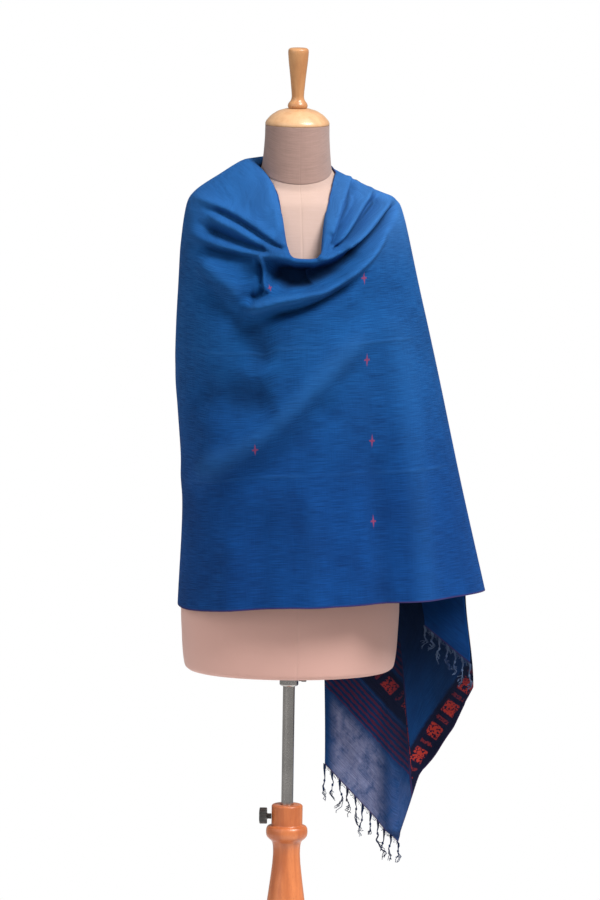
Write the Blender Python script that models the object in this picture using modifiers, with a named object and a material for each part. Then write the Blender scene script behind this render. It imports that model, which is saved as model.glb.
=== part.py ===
"""Fringed handloom shawl draped on a limbless dress form with a turned wooden stand.

Metres, +Z up. The origin is the centre of the round base's underside, the front faces -Y,
and the viewer's right is +X. The pole stands on the Z axis.
"""
import math
from collections import namedtuple

import bmesh
import bpy
import numpy as np
from mathutils import Matrix

# Driving sizes
GAP = 0.0003             # clearance between pieces that touch
CLOTH_WALL = 0.002       # thickness of the shawl's walls
REST_GAP = 0.0009        # how far the shawl's inner points stay off the curved form
VIEW_TILT = math.radians(8.0)   # folds are laid out as seen from 8 degrees above level

# The form and its stand
FORM_BOTTOM = 0.746
FORM_TURN = math.radians(6.0)   # the form stands turned a little on its pole
NECK_SEAM = 1.528        # height of the neck seam on the pole's axis
NECK_TILT = 0.345        # rise of the seam's plane towards the back
CAP_BOTTOM = 1.597
CAP_TOP = 1.6225
CAP_RADIUS = 0.0496
POLE_RADIUS = 0.0093
POLE_FOOT = 0.200
SOCKET_TOP = 0.534
SOCKET_RADIUS = 0.0242
BORE_FLOOR = 0.060
COLLAR_RADIUS = 0.0147
COLLAR_HEIGHT = 0.0240
SCREW_DROP = 0.0150       # how far the collar's screw sits below the form
BASE_RADIUS = 0.200
BASE_TOP = 0.040
KNOB_HEIGHT = 0.515

# The shawl's grid: the front runs from behind the left side to just behind the right side
SEAM_LEFT = -100.0       # degrees round the pole, 0 at the front, positive to the right
SEAM_RIGHT = 98.0
COLUMN_STEP = 4.5        # degrees between two columns of points
SEAM_INSET = 0.0004      # how far each panel keeps back from the seam with its neighbour
FRONT_ROWS = 36
BACK_ROWS = 20

FormSection = namedtuple("FormSection", "z half_width front back tilt")
FORM_SECTIONS = [
    FormSection(FORM_BOTTOM, 0.150, 0.104, 0.108, 0.0),
    FormSection(0.749, 0.158, 0.111, 0.115, 0.0),
    FormSection(0.759, 0.164, 0.115, 0.119, 0.0),
    FormSection(0.800, 0.168, 0.118, 0.122, 0.0),
    FormSection(0.870, 0.169, 0.119, 0.123, 0.0),
    FormSection(0.960, 0.154, 0.108, 0.109, 0.0),
    FormSection(1.060, 0.124, 0.094, 0.090, 0.0),
    FormSection(1.140, 0.122, 0.095, 0.088, 0.0),
    FormSection(1.220, 0.138, 0.110, 0.096, 0.0),
    FormSection(1.300, 0.153, 0.130, 0.102, 0.0),
    FormSection(1.370, 0.158, 0.118, 0.104, 0.0),
    FormSection(1.425, 0.159, 0.100, 0.100, 0.0),
    FormSection(1.460, 0.153, 0.086, 0.092, 0.0),
    FormSection(1.482, 0.136, 0.077, 0.084, 0.03),
    FormSection(1.496, 0.106, 0.068, 0.075, 0.10),
    FormSection(1.507, 0.080, 0.061, 0.066, 0.20),
    FormSection(1.517, 0.062, 0.056, 0.060, 0.30),
    FormSection(NECK_SEAM, 0.0535, 0.0530, 0.0550, NECK_TILT),
]

# One row for each ring of the shawl, from the edge turned in at the neckline to the hem.
# left, right, front and back are reaches from the pole; the heights are those of the four sides.
# neckline is how far the ring takes the shape of the neckline's low, round front edge.
Ring = namedtuple("Ring", "left right front back z_left z_right z_front z_back shift pinch neckline")
RINGS = [
    Ring(0.0600, 0.0585, 0.126, 0.0615, 1.5290, 1.5190, 1.389, 1.543, 0.016, 1.75, 1.00),
    Ring(0.0640, 0.0620, 0.142, 0.0690, 1.5360, 1.5220, 1.403, 1.549, 0.016, 1.75, 1.00),
    Ring(0.0810, 0.0780, 0.156, 0.0820, 1.5410, 1.5170, 1.391, 1.538, 0.014, 1.50, 0.80),
    Ring(0.1200, 0.1170, 0.160, 0.1020, 1.5170, 1.4990, 1.350, 1.497, 0.008, 1.20, 0.35),
    Ring(0.1580, 0.1530, 0.163, 0.1220, 1.4890, 1.4830, 1.290, 1.430, 0.003, 1.05, 0.00),
    Ring(0.1720, 0.1665, 0.166, 0.1320, 1.4520, 1.4550, 1.235, 1.360, 0.0, 1.0, 0.00),
    Ring(0.1795, 0.1920, 0.168, 0.1380, 1.3500, 1.3450, 1.155, 1.260, 0.0, 1.0, 0.00),
    Ring(0.1820, 0.2230, 0.165, 0.1420, 1.2150, 1.2130, 1.065, 1.140, 0.0, 1.0, 0.00),
    Ring(0.1690, 0.2620, 0.163, 0.1480, 1.0250, 1.0400, 0.965, 1.000, 0.0, 1.0, 0.00),
    Ring(0.1740, 0.3015, 0.166, 0.1550, 0.8490, 0.8760, 0.867, 0.862, 0.0, 1.0, 0.00),
]
FOLDS_BEGIN = (0.10, 0.22)   # parts of the way to the hem between which the folds set in
HEM_SKEW = 0.0045        # how much the front hem rises on the right and drops on the left

# Folds of the front, as routes of (x, seen height) points. Ridges are positive, valleys negative.
Fold = namedtuple("Fold", "name height spread route")
FRONT_FOLDS = [
    Fold("upper_left_roll", 0.011, 0.018,
         [(-0.165, 1.475), (-0.128, 1.462), (-0.091, 1.444), (-0.055, 1.421), (-0.015, 1.396)]),
    Fold("left_dip", -0.010, 0.016, [(-0.155, 1.440), (-0.110, 1.423), (-0.030, 1.397)]),
    Fold("cowl_lip", 0.015, 0.017,
         [(-0.162, 1.416), (-0.137, 1.401), (-0.063, 1.385), (0.010, 1.371), (0.030, 1.370),
          (0.070, 1.389), (0.101, 1.412), (0.131, 1.456)]),
    Fold("cowl_hollow", -0.024, 0.018, [(-0.045, 1.360), (-0.015, 1.344), (0.030, 1.346), (0.064, 1.363)]),
    Fold("second_roll", 0.019, 0.020,
         [(-0.085, 1.306), (-0.059, 1.294), (0.0, 1.312), (0.047, 1.333), (0.083, 1.361),
          (0.119, 1.405), (0.146, 1.452)]),
    Fold("second_roll_shade", -0.009, 0.020, [(-0.053, 1.270), (0.010, 1.280), (0.087, 1.304)]),
    Fold("left_slant", 0.008, 0.019, [(-0.155, 1.372), (-0.110, 1.344), (-0.065, 1.308)]),
    Fold("right_dip_inner", -0.011, 0.017, [(0.080, 1.490), (0.059, 1.404)]),
    Fold("right_dip_outer", -0.012, 0.017, [(0.142, 1.466), (0.106, 1.430), (0.066, 1.388)]),
    Fold("waist_swag", 0.009, 0.024,
         [(0.049, 1.210), (0.016, 1.152), (-0.013, 1.112), (-0.042, 1.090), (-0.161, 1.058)]),
    Fold("waist_shade", -0.006, 0.030, [(-0.075, 1.260), (-0.070, 1.130)]),
    Fold("right_flare", 0.009, 0.030, [(0.140, 1.330), (0.175, 1.130), (0.215, 0.780)]),
    Fold("right_flare_dip", -0.008, 0.028, [(0.125, 1.120), (0.150, 0.780)]),
    Fold("front_fall", 0.005, 0.028, [(0.030, 1.050), (0.040, 0.780)]),
]

# Folds of the back, as routes of (x, height) points seen from the front as well
BACK_FOLDS = [
    Fold("nape_roll", 0.008, 0.012, [(-0.120, 1.500), (-0.060, 1.490), (0.010, 1.475), (0.070, 1.480)]),
    Fold("nape_dip", -0.007, 0.014, [(-0.135, 1.460), (-0.050, 1.445), (0.030, 1.440)]),
    Fold("back_swag", 0.009, 0.020, [(-0.165, 1.400), (-0.100, 1.330), (0.0, 1.290), (0.100, 1.300)]),
    Fold("back_swag_low", 0.008, 0.026, [(-0.175, 1.230), (-0.100, 1.130), (0.020, 1.080)]),
    Fold("back_fall_left", 0.010, 0.022, [(-0.120, 1.080), (-0.130, 0.780)]),
    Fold("back_dip_left", -0.008, 0.020, [(-0.070, 1.100), (-0.075, 0.780)]),
    Fold("back_fall_middle", 0.009, 0.024, [(-0.015, 1.050), (-0.010, 0.780)]),
    Fold("end_pleat_inner", 0.010, 0.018, [(0.038, 1.450), (0.075, 1.150), (0.085, 0.780)]),
    Fold("end_pleat_dip", -0.009, 0.016, [(0.062, 1.450), (0.120, 1.150), (0.140, 0.780)]),
    Fold("end_pleat_outer", 0.010, 0.018, [(0.095, 1.450), (0.172, 1.150), (0.205, 0.780)]),
]

# Folds of the long end, which fall straight down it (x at the top and at the bottom)
LONG_END_FOLDS = [
    Fold("long_end_left", 0.008, 0.016, [(0.040, 1.450), (0.085, 1.000), (0.085, 0.560)]),
    Fold("long_end_valley", -0.016, 0.018, [(0.075, 1.450), (0.150, 1.000), (0.165, 0.460)]),
    Fold("long_end_ridge", 0.012, 0.020, [(0.100, 1.450), (0.200, 1.000), (0.222, 0.560)]),
    Fold("long_end_outer_dip", -0.006, 0.014, [(0.125, 1.400), (0.238, 1.000), (0.262, 0.680)]),
]

# Bottom edges of the two ends, from their left corner to their right one
EdgePoint = namedtuple("EdgePoint", "part x y z")
LONG_END_TIP = 0.5    # where along the edge the fringed stretch ends in the low corner
LONG_END_EDGE = [
    EdgePoint(0.0, 0.058, 0.160, 0.571),
    EdgePoint(LONG_END_TIP, 0.176, 0.145, 0.451),
    EdgePoint(0.64, 0.208, 0.135, 0.566),
    EdgePoint(0.84, 0.258, 0.105, 0.640),
    EdgePoint(1.0, 0.288, 0.075, 0.711),
]
SHORT_END_EDGE = [
    EdgePoint(0.0, 0.211, 0.092, 0.804),
    EdgePoint(1.0, 0.281, 0.030, 0.756),
]
LONG_END_COLUMNS = (4, 16)    # columns of the back that the ends lie along
SHORT_END_COLUMNS = (4, 9)
LONG_END_TOP_ROW = 2
SHORT_END_TOP_ROW = 15

Tassels = namedtuple("Tassels", "count length root knot skirt strip_height")
LONG_TASSELS = Tassels(10, 0.046, 0.0034, 0.0048, 0.0056, 0.004)
SHORT_TASSELS = Tassels(6, 0.036, 0.0034, 0.0046, 0.0054, 0.004)

Finish = namedtuple("Finish", "color roughness metallic")
BLUE_CLOTH = Finish((0.030, 0.110, 0.330, 1.0), 0.85, 0.0)
BLUE_FRINGE = Finish((0.035, 0.120, 0.350, 1.0), 0.90, 0.0)
CHEST_LINEN = Finish((0.640, 0.450, 0.360, 1.0), 0.80, 0.0)
NECK_LINEN = Finish((0.350, 0.240, 0.190, 1.0), 0.85, 0.0)
PALE_WOOD = Finish((0.720, 0.440, 0.200, 1.0), 0.40, 0.0)
ORANGE_WOOD = Finish((0.560, 0.210, 0.075, 1.0), 0.38, 0.0)
CHROME = Finish((0.620, 0.600, 0.580, 1.0), 0.25, 1.0)
DARK_METAL = Finish((0.030, 0.028, 0.026, 1.0), 0.35, 0.8)
BLACK_PLASTIC = Finish((0.020, 0.018, 0.017, 1.0), 0.45, 0.0)


def clear_scene():
    for obj in list(bpy.data.objects):
        bpy.data.objects.remove(obj, do_unlink=True)


def make_collection(name):
    collection = bpy.data.collections.new(name)
    bpy.context.scene.collection.children.link(collection)
    return collection


def make_material(name, finish):
    material = bpy.data.materials.new(name)
    material.use_nodes = True
    shader = material.node_tree.nodes["Principled BSDF"]
    shader.inputs["Base Color"].default_value = finish.color
    shader.inputs["Roughness"].default_value = finish.roughness
    shader.inputs["Metallic"].default_value = finish.metallic
    return material


def add_object(collection, name, mesh, finish):
    obj = bpy.data.objects.new(name, mesh)
    collection.objects.link(obj)
    mesh.materials.append(make_material(name + "_finish", finish))
    mesh.shade_smooth()
    return obj


def spline(rows, part):
    """Points of a smooth curve through the rows; part runs from 0 at the first to 1 at the last."""
    rows = np.array(rows, float)
    last = len(rows) - 1
    place = np.clip(np.asarray(part, float) * last, 0.0, last - 1e-9)
    first = place.astype(int)
    f = (place - first)[..., None]
    padded = np.vstack([2 * rows[0] - rows[1], rows, 2 * rows[-1] - rows[-2]])
    p0, p1, p2, p3 = padded[first], padded[first + 1], padded[first + 2], padded[first + 3]
    return 0.5 * (2 * p1 + (p2 - p0) * f + (2 * p0 - 5 * p1 + 4 * p2 - p3) * f ** 2
                  + (3 * p1 - p0 - 3 * p2 + p3) * f ** 3)


def unit(vectors):
    return vectors / np.maximum(np.linalg.norm(vectors, axis=-1, keepdims=True), 1e-12)


def step_up(low, high, value):
    s = np.clip((value - low) / (high - low), 0.0, 1.0)
    return s * s * (3 - 2 * s)


# The dress form

def torso_sections():
    """The given sections at the bottom rim, and a smooth run of them above it."""
    rims = np.array(FORM_SECTIONS[:4])
    between = spline(FORM_SECTIONS, np.linspace(0.25, 1.0, 22))
    return np.vstack([rims, between[between[:, 0] > rims[-1, 0] + 0.01]])


def form_measures(z, sections):
    return [np.interp(z, sections[:, 0], sections[:, k]) for k in range(1, 5)]


def form_field(points, sections):
    """Below 0 inside the form and its neck, above 0 outside."""
    cos_turn, sin_turn = math.cos(FORM_TURN), math.sin(FORM_TURN)
    x = points[..., 0] * cos_turn + points[..., 1] * sin_turn
    y = points[..., 1] * cos_turn - points[..., 0] * sin_turn
    level = points[..., 2]
    for _ in range(6):
        level = points[..., 2] - form_measures(level, sections)[3] * y
    half_width, front, back, _ = form_measures(level, sections)
    depth = np.where(y < 0, front, back)
    return np.sqrt((x / half_width) ** 2 + (y / depth) ** 2) - 1.0


def clear_of_form(points, gap):
    """Moves points that lie within the gap of the form out along the form's slope."""
    reach = 0.0005
    sections = torso_sections()
    for _ in range(12):
        value = form_field(points, sections)
        slope = np.stack([form_field(points + reach * axis, sections) - form_field(points - reach * axis, sections)
                          for axis in np.eye(3)], axis=-1) / (2 * reach)
        steep = np.maximum(np.linalg.norm(slope, axis=-1), 1e-6)
        short = np.clip(gap - value / steep, 0.0, 0.01)
        points = points + (short / steep)[..., None] * slope
    return points


def closed_loft(name, rings):
    """A closed body through rings of points, with flat caps."""
    bm = bmesh.new()
    loops = [[bm.verts.new(point) for point in ring] for ring in rings]
    for below, above in zip(loops, loops[1:]):
        for i in range(len(below)):
            j = (i + 1) % len(below)
            bm.faces.new((below[i], below[j], above[j], above[i]))
    bm.faces.new(list(reversed(loops[0])))
    bm.faces.new(loops[-1])
    mesh = bpy.data.meshes.new(name)
    bm.to_mesh(mesh)
    bm.free()
    return mesh


def form_ring(z, half_width, front, back, tilt, around):
    angle = np.linspace(0.0, 2 * math.pi, around, endpoint=False)
    x = half_width * np.cos(angle)
    y = np.where(np.sin(angle) < 0, front, back) * np.sin(angle)
    ring = np.stack([x, y, z + tilt * y], axis=-1)
    turn = np.array(Matrix.Rotation(FORM_TURN, 3, "Z"))
    return ring @ turn.T


def make_torso(collection):
    rings = [form_ring(*section, around=32) for section in torso_sections()]
    return add_object(collection, "torso", closed_loft("torso", rings), CHEST_LINEN)


def make_neck(collection):
    seam = FORM_SECTIONS[-1]
    rings = [form_ring(NECK_SEAM + GAP, seam.half_width, seam.front, seam.back, NECK_TILT, 32),
             form_ring(1.553, 0.0515, 0.0515, 0.0530, 0.16, 32),
             form_ring(1.575, 0.0500, 0.0500, 0.0505, 0.04, 32),
             form_ring(CAP_BOTTOM - GAP, CAP_RADIUS, CAP_RADIUS, CAP_RADIUS, 0.0, 32)]
    return add_object(collection, "neck", closed_loft("neck", rings), NECK_LINEN)


# Turned pieces

def turned(collection, name, profile, finish, steps=24):
    """A solid turned round the pole's axis; the profile's (radius, z) rows run top to bottom."""
    mesh = bpy.data.meshes.new(name)
    points = [(radius, 0.0, z) for radius, z in profile]
    edges = [(i, i + 1) for i in range(len(points) - 1)]
    if profile[0][0] > 0.0:
        edges.append((len(points) - 1, 0))
    mesh.from_pydata(points, edges, [])
    obj = add_object(collection, name, mesh, finish)
    screw = obj.modifiers.new("Turn", "SCREW")
    screw.axis = "Z"
    screw.steps = steps
    screw.render_steps = steps
    screw.use_merge_vertices = True
    screw.merge_threshold = 0.00005
    screw.use_smooth_shade = True
    return obj


def make_cap_and_finial(collection):
    turned(collection, "neck_cap",
           [(0.0, CAP_TOP), (0.016, CAP_TOP), (0.030, CAP_TOP - 0.004), (0.041, CAP_TOP - 0.011),
            (0.0480, CAP_TOP - 0.019), (CAP_RADIUS, CAP_TOP - 0.0225), (CAP_RADIUS, CAP_BOTTOM),
            (0.0, CAP_BOTTOM)], PALE_WOOD)
    seat = CAP_TOP + GAP
    turned(collection, "finial",
           [(0.0, 1.7165), (0.0130, 1.7155), (0.0156, 1.7130), (0.0160, 1.7090), (0.0150, 1.6960),
            (0.0120, 1.6700), (0.0098, 1.6470), (0.0094, 1.6400), (0.0105, 1.6350), (0.0145, 1.6300),
            (0.0156, 1.6262), (0.0145, seat), (0.0, seat)], PALE_WOOD, steps=24)


def make_stand(collection):
    bore = POLE_RADIUS + GAP
    turned(collection, "column",
           [(0.0, BORE_FLOOR), (bore, BORE_FLOOR), (bore, SOCKET_TOP), (SOCKET_RADIUS - 0.002, SOCKET_TOP),
            (SOCKET_RADIUS, SOCKET_TOP - 0.002), (SOCKET_RADIUS, 0.5010), (0.0300, 0.5000), (0.0320, 0.4960),
            (0.0325, 0.4900), (0.0315, 0.4840), (0.0285, 0.4805), (0.0230, 0.4760), (0.0212, 0.4680),
            (0.0209, 0.4560), (0.0220, 0.4400), (0.0250, 0.4150), (0.0291, 0.3840), (0.0335, 0.3400),
            (0.0355, 0.3000), (0.0345, 0.2500), (0.0300, 0.1900), (0.0240, 0.1350), (0.0225, 0.1100),
            (0.0300, 0.1020), (0.0330, 0.0950), (0.0330, 0.0880), (0.0290, 0.0820), (0.0290, 0.0700),
            (0.0380, 0.0560), (0.0420, 0.0480), (0.0420, BASE_TOP + GAP), (0.0, BASE_TOP + GAP)],
           ORANGE_WOOD)
    turned(collection, "base",
           [(0.0, BASE_TOP), (0.052, BASE_TOP), (0.060, 0.0370), (0.100, 0.0335), (0.150, 0.0290),
            (0.185, 0.0240), (0.196, 0.0200), (BASE_RADIUS, 0.0140), (BASE_RADIUS, 0.0050),
            (0.196, 0.0), (0.0, 0.0)], ORANGE_WOOD, steps=32)


def add_cylinder(collection, name, radius, length, centre, finish, along_x=False, sides=24):
    bm = bmesh.new()
    bmesh.ops.create_cone(bm, cap_ends=True, segments=sides, radius1=radius, radius2=radius, depth=length)
    mesh = bpy.data.meshes.new(name)
    bm.to_mesh(mesh)
    bm.free()
    obj = add_object(collection, name, mesh, finish)
    obj.location = centre
    if along_x:
        obj.rotation_euler = (0.0, math.radians(90.0), 0.0)
    return obj


def make_pole(collection):
    top = FORM_BOTTOM - GAP
    add_cylinder(collection, "pole", POLE_RADIUS, top - POLE_FOOT, (0.0, 0.0, (top + POLE_FOOT) / 2), CHROME)
    bore = POLE_RADIUS + GAP
    foot = top - COLLAR_HEIGHT
    turned(collection, "collar",
           [(bore, foot), (bore, top), (COLLAR_RADIUS, top), (COLLAR_RADIUS, foot + 0.0015),
            (COLLAR_RADIUS - 0.0015, foot)], CHROME, steps=24)
    screw_length = 0.012
    add_cylinder(collection, "collar_screw", 0.0032, screw_length,
                 (COLLAR_RADIUS + GAP + screw_length / 2, 0.0, top - SCREW_DROP), DARK_METAL,
                 along_x=True, sides=12)


def make_knob(collection):
    """Star knob on a short stem, screwed into the left of the socket along X."""
    lobes, points_each = 5, 8
    head_radius, lobe_depth, stem_radius = 0.0112, 0.0022, 0.0042
    head_start, head_end, edge = -0.0310, -0.0430, 0.0012
    count = lobes * points_each
    angle = np.linspace(0.0, 2 * math.pi, count, endpoint=False)
    star = head_radius + lobe_depth * np.cos(lobes * angle)
    stem = np.full(count, stem_radius)
    rings = []
    for x, radius in ((head_end, 0.88 * star), (head_end + edge, star), (head_start - edge, star),
                      (head_start, 0.92 * star), (head_start, stem), (-SOCKET_RADIUS - GAP, stem)):
        rings.append(np.stack([np.full(count, x), radius * np.cos(angle), KNOB_HEIGHT + radius * np.sin(angle)],
                              axis=-1))
    return add_object(collection, "lock_knob", closed_loft("lock_knob", rings), BLACK_PLASTIC)


# The shawl

def pinched(value, amount):
    """Draws values between -1 and 1 towards 0, and keeps -1, 0 and 1."""
    soft = 0.05
    return value * ((value ** 2 + soft) / (1 + soft)) ** ((amount - 1) / 2)


def neckline_spread(side):
    """How far across the neckline's edge lies: round at its low point, then steep up both sides."""
    roundness, rise_left, rise_right = 0.1, 12.0, 4.0
    reach = np.abs(side)
    low = 0.5 * (1 + roundness) * reach / (reach + roundness)
    return np.sign(side) * (low + 0.5 * reach ** np.where(side < 0, rise_left, rise_right))


def shawl_base(angle, part):
    """The shawl's inner face without folds, by angle round the pole and part of the way to the hem."""
    ring = Ring(*np.moveaxis(spline(RINGS, part), -1, 0))
    side, ahead = np.sin(angle), np.cos(angle)
    right, front = side >= 0, ahead >= 0
    neckline = np.where(front, np.clip(ring.neckline, 0.0, 1.0), 0.0)
    across = (1 - neckline) * pinched(side, ring.pinch) + neckline * neckline_spread(side)
    x = np.where(right, ring.right, ring.left) * across
    x = x + np.where(front, ring.shift, 0.0) * ahead ** 2
    y = -np.where(front, ring.front, ring.back) * pinched(ahead, 1 + 0.6 * (ring.pinch - 1))
    z = (np.where(right, ring.z_right, ring.z_left) * side ** 2
         + np.where(front, ring.z_front, ring.z_back) * ahead ** 2)
    z = z + HEM_SKEW * step_up(0.6, 1.0, part) * np.where(front, 2 * side * ahead, 0.0)
    return np.stack([x, y, z], axis=-1)


def surface_normals(place, angle, part):
    """Outward normals of a surface given as a function of angle and part."""
    step_angle, step_part = math.radians(0.5), 0.004
    lower = np.clip(part - step_part, 0.0, 1.0)
    upper = np.clip(part + step_part, 0.0, 1.0)
    along = place(angle + step_angle, part) - place(angle - step_angle, part)
    down = place(angle, upper) - place(angle, lower)
    return unit(np.cross(down, along))


def fold_shape(points, route):
    """A fold's strength, full at the middle of its smooth route and less at its ends, and the distance to it."""
    tail, taper = 0.25, 0.22
    smooth = spline(route, np.linspace(0.0, 1.0, 6 * len(route)))
    best = np.full(points.shape[:-1], np.inf)
    along = np.zeros(points.shape[:-1])
    for number, (start, end) in enumerate(zip(smooth, smooth[1:])):
        run = end - start
        share = np.clip(((points - start) @ run) / (run @ run), 0.0, 1.0)
        distance = np.linalg.norm(points - start - share[..., None] * run, axis=-1)
        along = np.where(distance < best, (number + share) / (len(smooth) - 1), along)
        best = np.minimum(best, distance)
    middle = step_up(0.0, taper, along) * step_up(0.0, taper, 1 - along)
    return tail + (1 - tail) * middle, best


def fold_height(points, folds):
    total = 0.0
    for fold in folds:
        strength, distance = fold_shape(points, fold.route)
        total = total + fold.height * strength * np.exp(-(distance / fold.spread) ** 2)
    return total


def shawl_face(angle, part):
    """The shawl's inner face with its folds, clear of the form."""
    angle, part = np.broadcast_arrays(np.asarray(angle, float), np.asarray(part, float))
    base = shawl_base(angle, part)
    normals = surface_normals(shawl_base, angle, part)
    x, y, z = np.moveaxis(base, -1, 0)
    seen = np.stack([x, z * math.cos(VIEW_TILT) + y * math.sin(VIEW_TILT)], axis=-1)
    level = np.stack([x, z], axis=-1)
    ahead = step_up(-0.15, 0.15, np.cos(angle))
    rise = ahead * fold_height(seen, FRONT_FOLDS) + (1 - ahead) * fold_height(level, BACK_FOLDS)
    rise = rise * step_up(*FOLDS_BEGIN, part)
    turned_in = 1 - step_up(0.06, 0.16, part)
    return clear_of_form(base + rise[..., None] * normals, REST_GAP + turned_in * CLOTH_WALL)


def grid_normals(grid):
    """Normals at a grid's points, rows running down and columns to the right seen from the front."""
    along = np.gradient(grid, axis=1)
    down = np.gradient(grid, axis=0)
    return unit(np.cross(down, along))


def wall_from_grid(collection, name, grid, finish):
    """A cloth wall: an open grid of points, thickened outwards."""
    rows, columns = grid.shape[:2]
    faces = [(r * columns + c, (r + 1) * columns + c, (r + 1) * columns + c + 1, r * columns + c + 1)
             for r in range(rows - 1) for c in range(columns - 1)]
    mesh = bpy.data.meshes.new(name)
    mesh.from_pydata(grid.reshape(-1, 3).tolist(), [], faces)
    obj = add_object(collection, name, mesh, finish)
    wall = obj.modifiers.new("Wall", "SOLIDIFY")
    wall.thickness = CLOTH_WALL
    wall.offset = 1.0
    return obj


def row_parts(rows, crowding):
    """Places of the rows from neckline to hem, evenly spaced along the cloth and closer at the top."""
    fine = np.linspace(0.0, 1.0, 200)
    angles = np.radians(np.arange(0.0, 360.0, 45.0))
    points = shawl_base(angles[None, :], fine[:, None])
    steps = np.linalg.norm(np.diff(points, axis=0), axis=-1).mean(axis=1)
    steps = steps * (1 + (crowding - 1) * (1 - step_up(0.45, 0.75, fine[1:])))
    travelled = np.concatenate([[0.0], np.cumsum(steps)])
    return np.interp(np.linspace(0.0, travelled[-1], rows + 1), travelled, fine)


def ring_grid(start, end, rows, crowding):
    """Rows run from the neckline to the hem, columns with growing angle."""
    columns = round((end - start) / COLUMN_STEP) + 1
    angles = np.radians(np.linspace(start, end, columns))
    parts = row_parts(rows, crowding)
    grid = shawl_face(angles[None, :], parts[:, None])
    inset = SEAM_INSET + 0.0006 * (1 - step_up(0.05, 0.2, parts))[:, None]
    for edge, beside in ((0, 1), (-1, -2)):
        grid[:, edge] += inset * unit(grid[:, beside] - grid[:, edge])
    return grid


def edge_points(table, share):
    place = [row.part for row in table]
    return np.stack([np.interp(share, place, [getattr(row, axis) for row in table]) for axis in "xyz"], axis=-1)


def hanging_end(back, columns, top_row, offset, edge, fall_rows, folds):
    """An end of the shawl: it lies along the back's points, moved out, and falls free below the hem."""
    first, last = columns
    lifted = back + offset * grid_normals(back)
    upper = lifted[top_row:, first:last + 1]
    share = np.linspace(1.0, 0.0, last - first + 1)
    goal = edge_points(edge, share)
    hem = upper[-1]
    rows = []
    for i in range(1, fall_rows + 1):
        drop = i / fall_rows
        row = hem + (goal - hem) * drop
        row[:, :2] = hem[:, :2] + (goal - hem)[:, :2] * step_up(0.0, 1.0, drop)
        rows.append(row)
    free = np.array(rows)
    normals = grid_normals(np.vstack([upper[-2:], free]))[2:]
    flat = np.stack([free[..., 0], free[..., 2]], axis=-1)
    fade = np.linspace(0.15, 1.0, fall_rows)[:, None]
    free = free + (fade * fold_height(flat, folds))[..., None] * normals
    return np.vstack([upper, free])


def tassel_fringe(collection, name, edge, outward, tassels, finish):
    """Tassels on a narrow strip that follows a cloth edge; edge runs along the cloth's inner face."""
    lengths = np.concatenate([[0.0], np.cumsum(np.linalg.norm(np.diff(edge, axis=0), axis=1))])
    gap_width = (lengths[-1] - tassels.count * tassels.root) / (tassels.count + 1)
    stations = [0.0]
    for _ in range(tassels.count):
        stations += [stations[-1] + gap_width, stations[-1] + gap_width + tassels.root]
    stations.append(lengths[-1])
    places = np.stack([np.interp(stations, lengths, edge[:, k]) for k in range(3)], axis=-1)
    along = unit(np.gradient(places, axis=0))
    out = unit(np.stack([np.interp(stations, lengths, outward[:, k]) for k in range(3)], axis=-1))
    out = unit(out - np.sum(out * along, axis=-1, keepdims=True) * along)
    down = np.cross(out, along)
    down = down * np.where(down[:, 2:] < 0, 1.0, -1.0)
    top = places + down * GAP
    bottom = top + down * tassels.strip_height
    bm = bmesh.new()
    corners = [[bm.verts.new(p) for p in (top[i], top[i] + out[i] * CLOTH_WALL,
                                          bottom[i] + out[i] * CLOTH_WALL, bottom[i])]
               for i in range(len(stations))]
    for i, (here, there) in enumerate(zip(corners, corners[1:])):
        for k in range(4):
            m = (k + 1) % 4
            is_root = i % 2 == 1 and k == 2
            if not is_root:
                bm.faces.new((here[k], there[k], there[m], here[m]))
        if i % 2 == 1:
            add_tassel(bm, here, there, out[i], along[i], tassels, i // 2)
    bm.faces.new(corners[0])
    bm.faces.new(list(reversed(corners[-1])))
    bmesh.ops.recalc_face_normals(bm, faces=bm.faces)
    mesh = bpy.data.meshes.new(name)
    bm.to_mesh(mesh)
    bm.free()
    return add_object(collection, name, mesh, finish)


def add_tassel(bm, here, there, out, along, tassels, index):
    """A four-sided lock: thin at the root, a knot, then a skirt that narrows to the tip."""
    root = [here[2], there[2], there[3], here[3]]
    centre = np.mean([np.array(corner.co) for corner in root], axis=0)
    level = unit(np.array([along[0], along[1], 0.0]))
    lean = 0.05 * math.sin(1.9 * index)
    length = tassels.length * (1 + 0.16 * math.sin(2.6 * index + 0.8))
    shape = ((0.14, tassels.root), (0.24, tassels.knot), (0.36, tassels.root),
             (0.62, tassels.skirt), (0.88, tassels.skirt * 0.8), (1.0, tassels.skirt * 0.25))
    previous = root
    for part, width in shape:
        middle = centre + np.array([lean * length * part, 0.0, -length * part])
        ring = [bm.verts.new(middle + 0.5 * width * (a * level + b * 0.8 * out))
                for a, b in ((-1, 1), (1, 1), (1, -1), (-1, -1))]
        for k in range(4):
            m = (k + 1) % 4
            bm.faces.new((previous[k], previous[m], ring[m], ring[k]))
        previous = ring
    bm.faces.new(previous)


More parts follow.
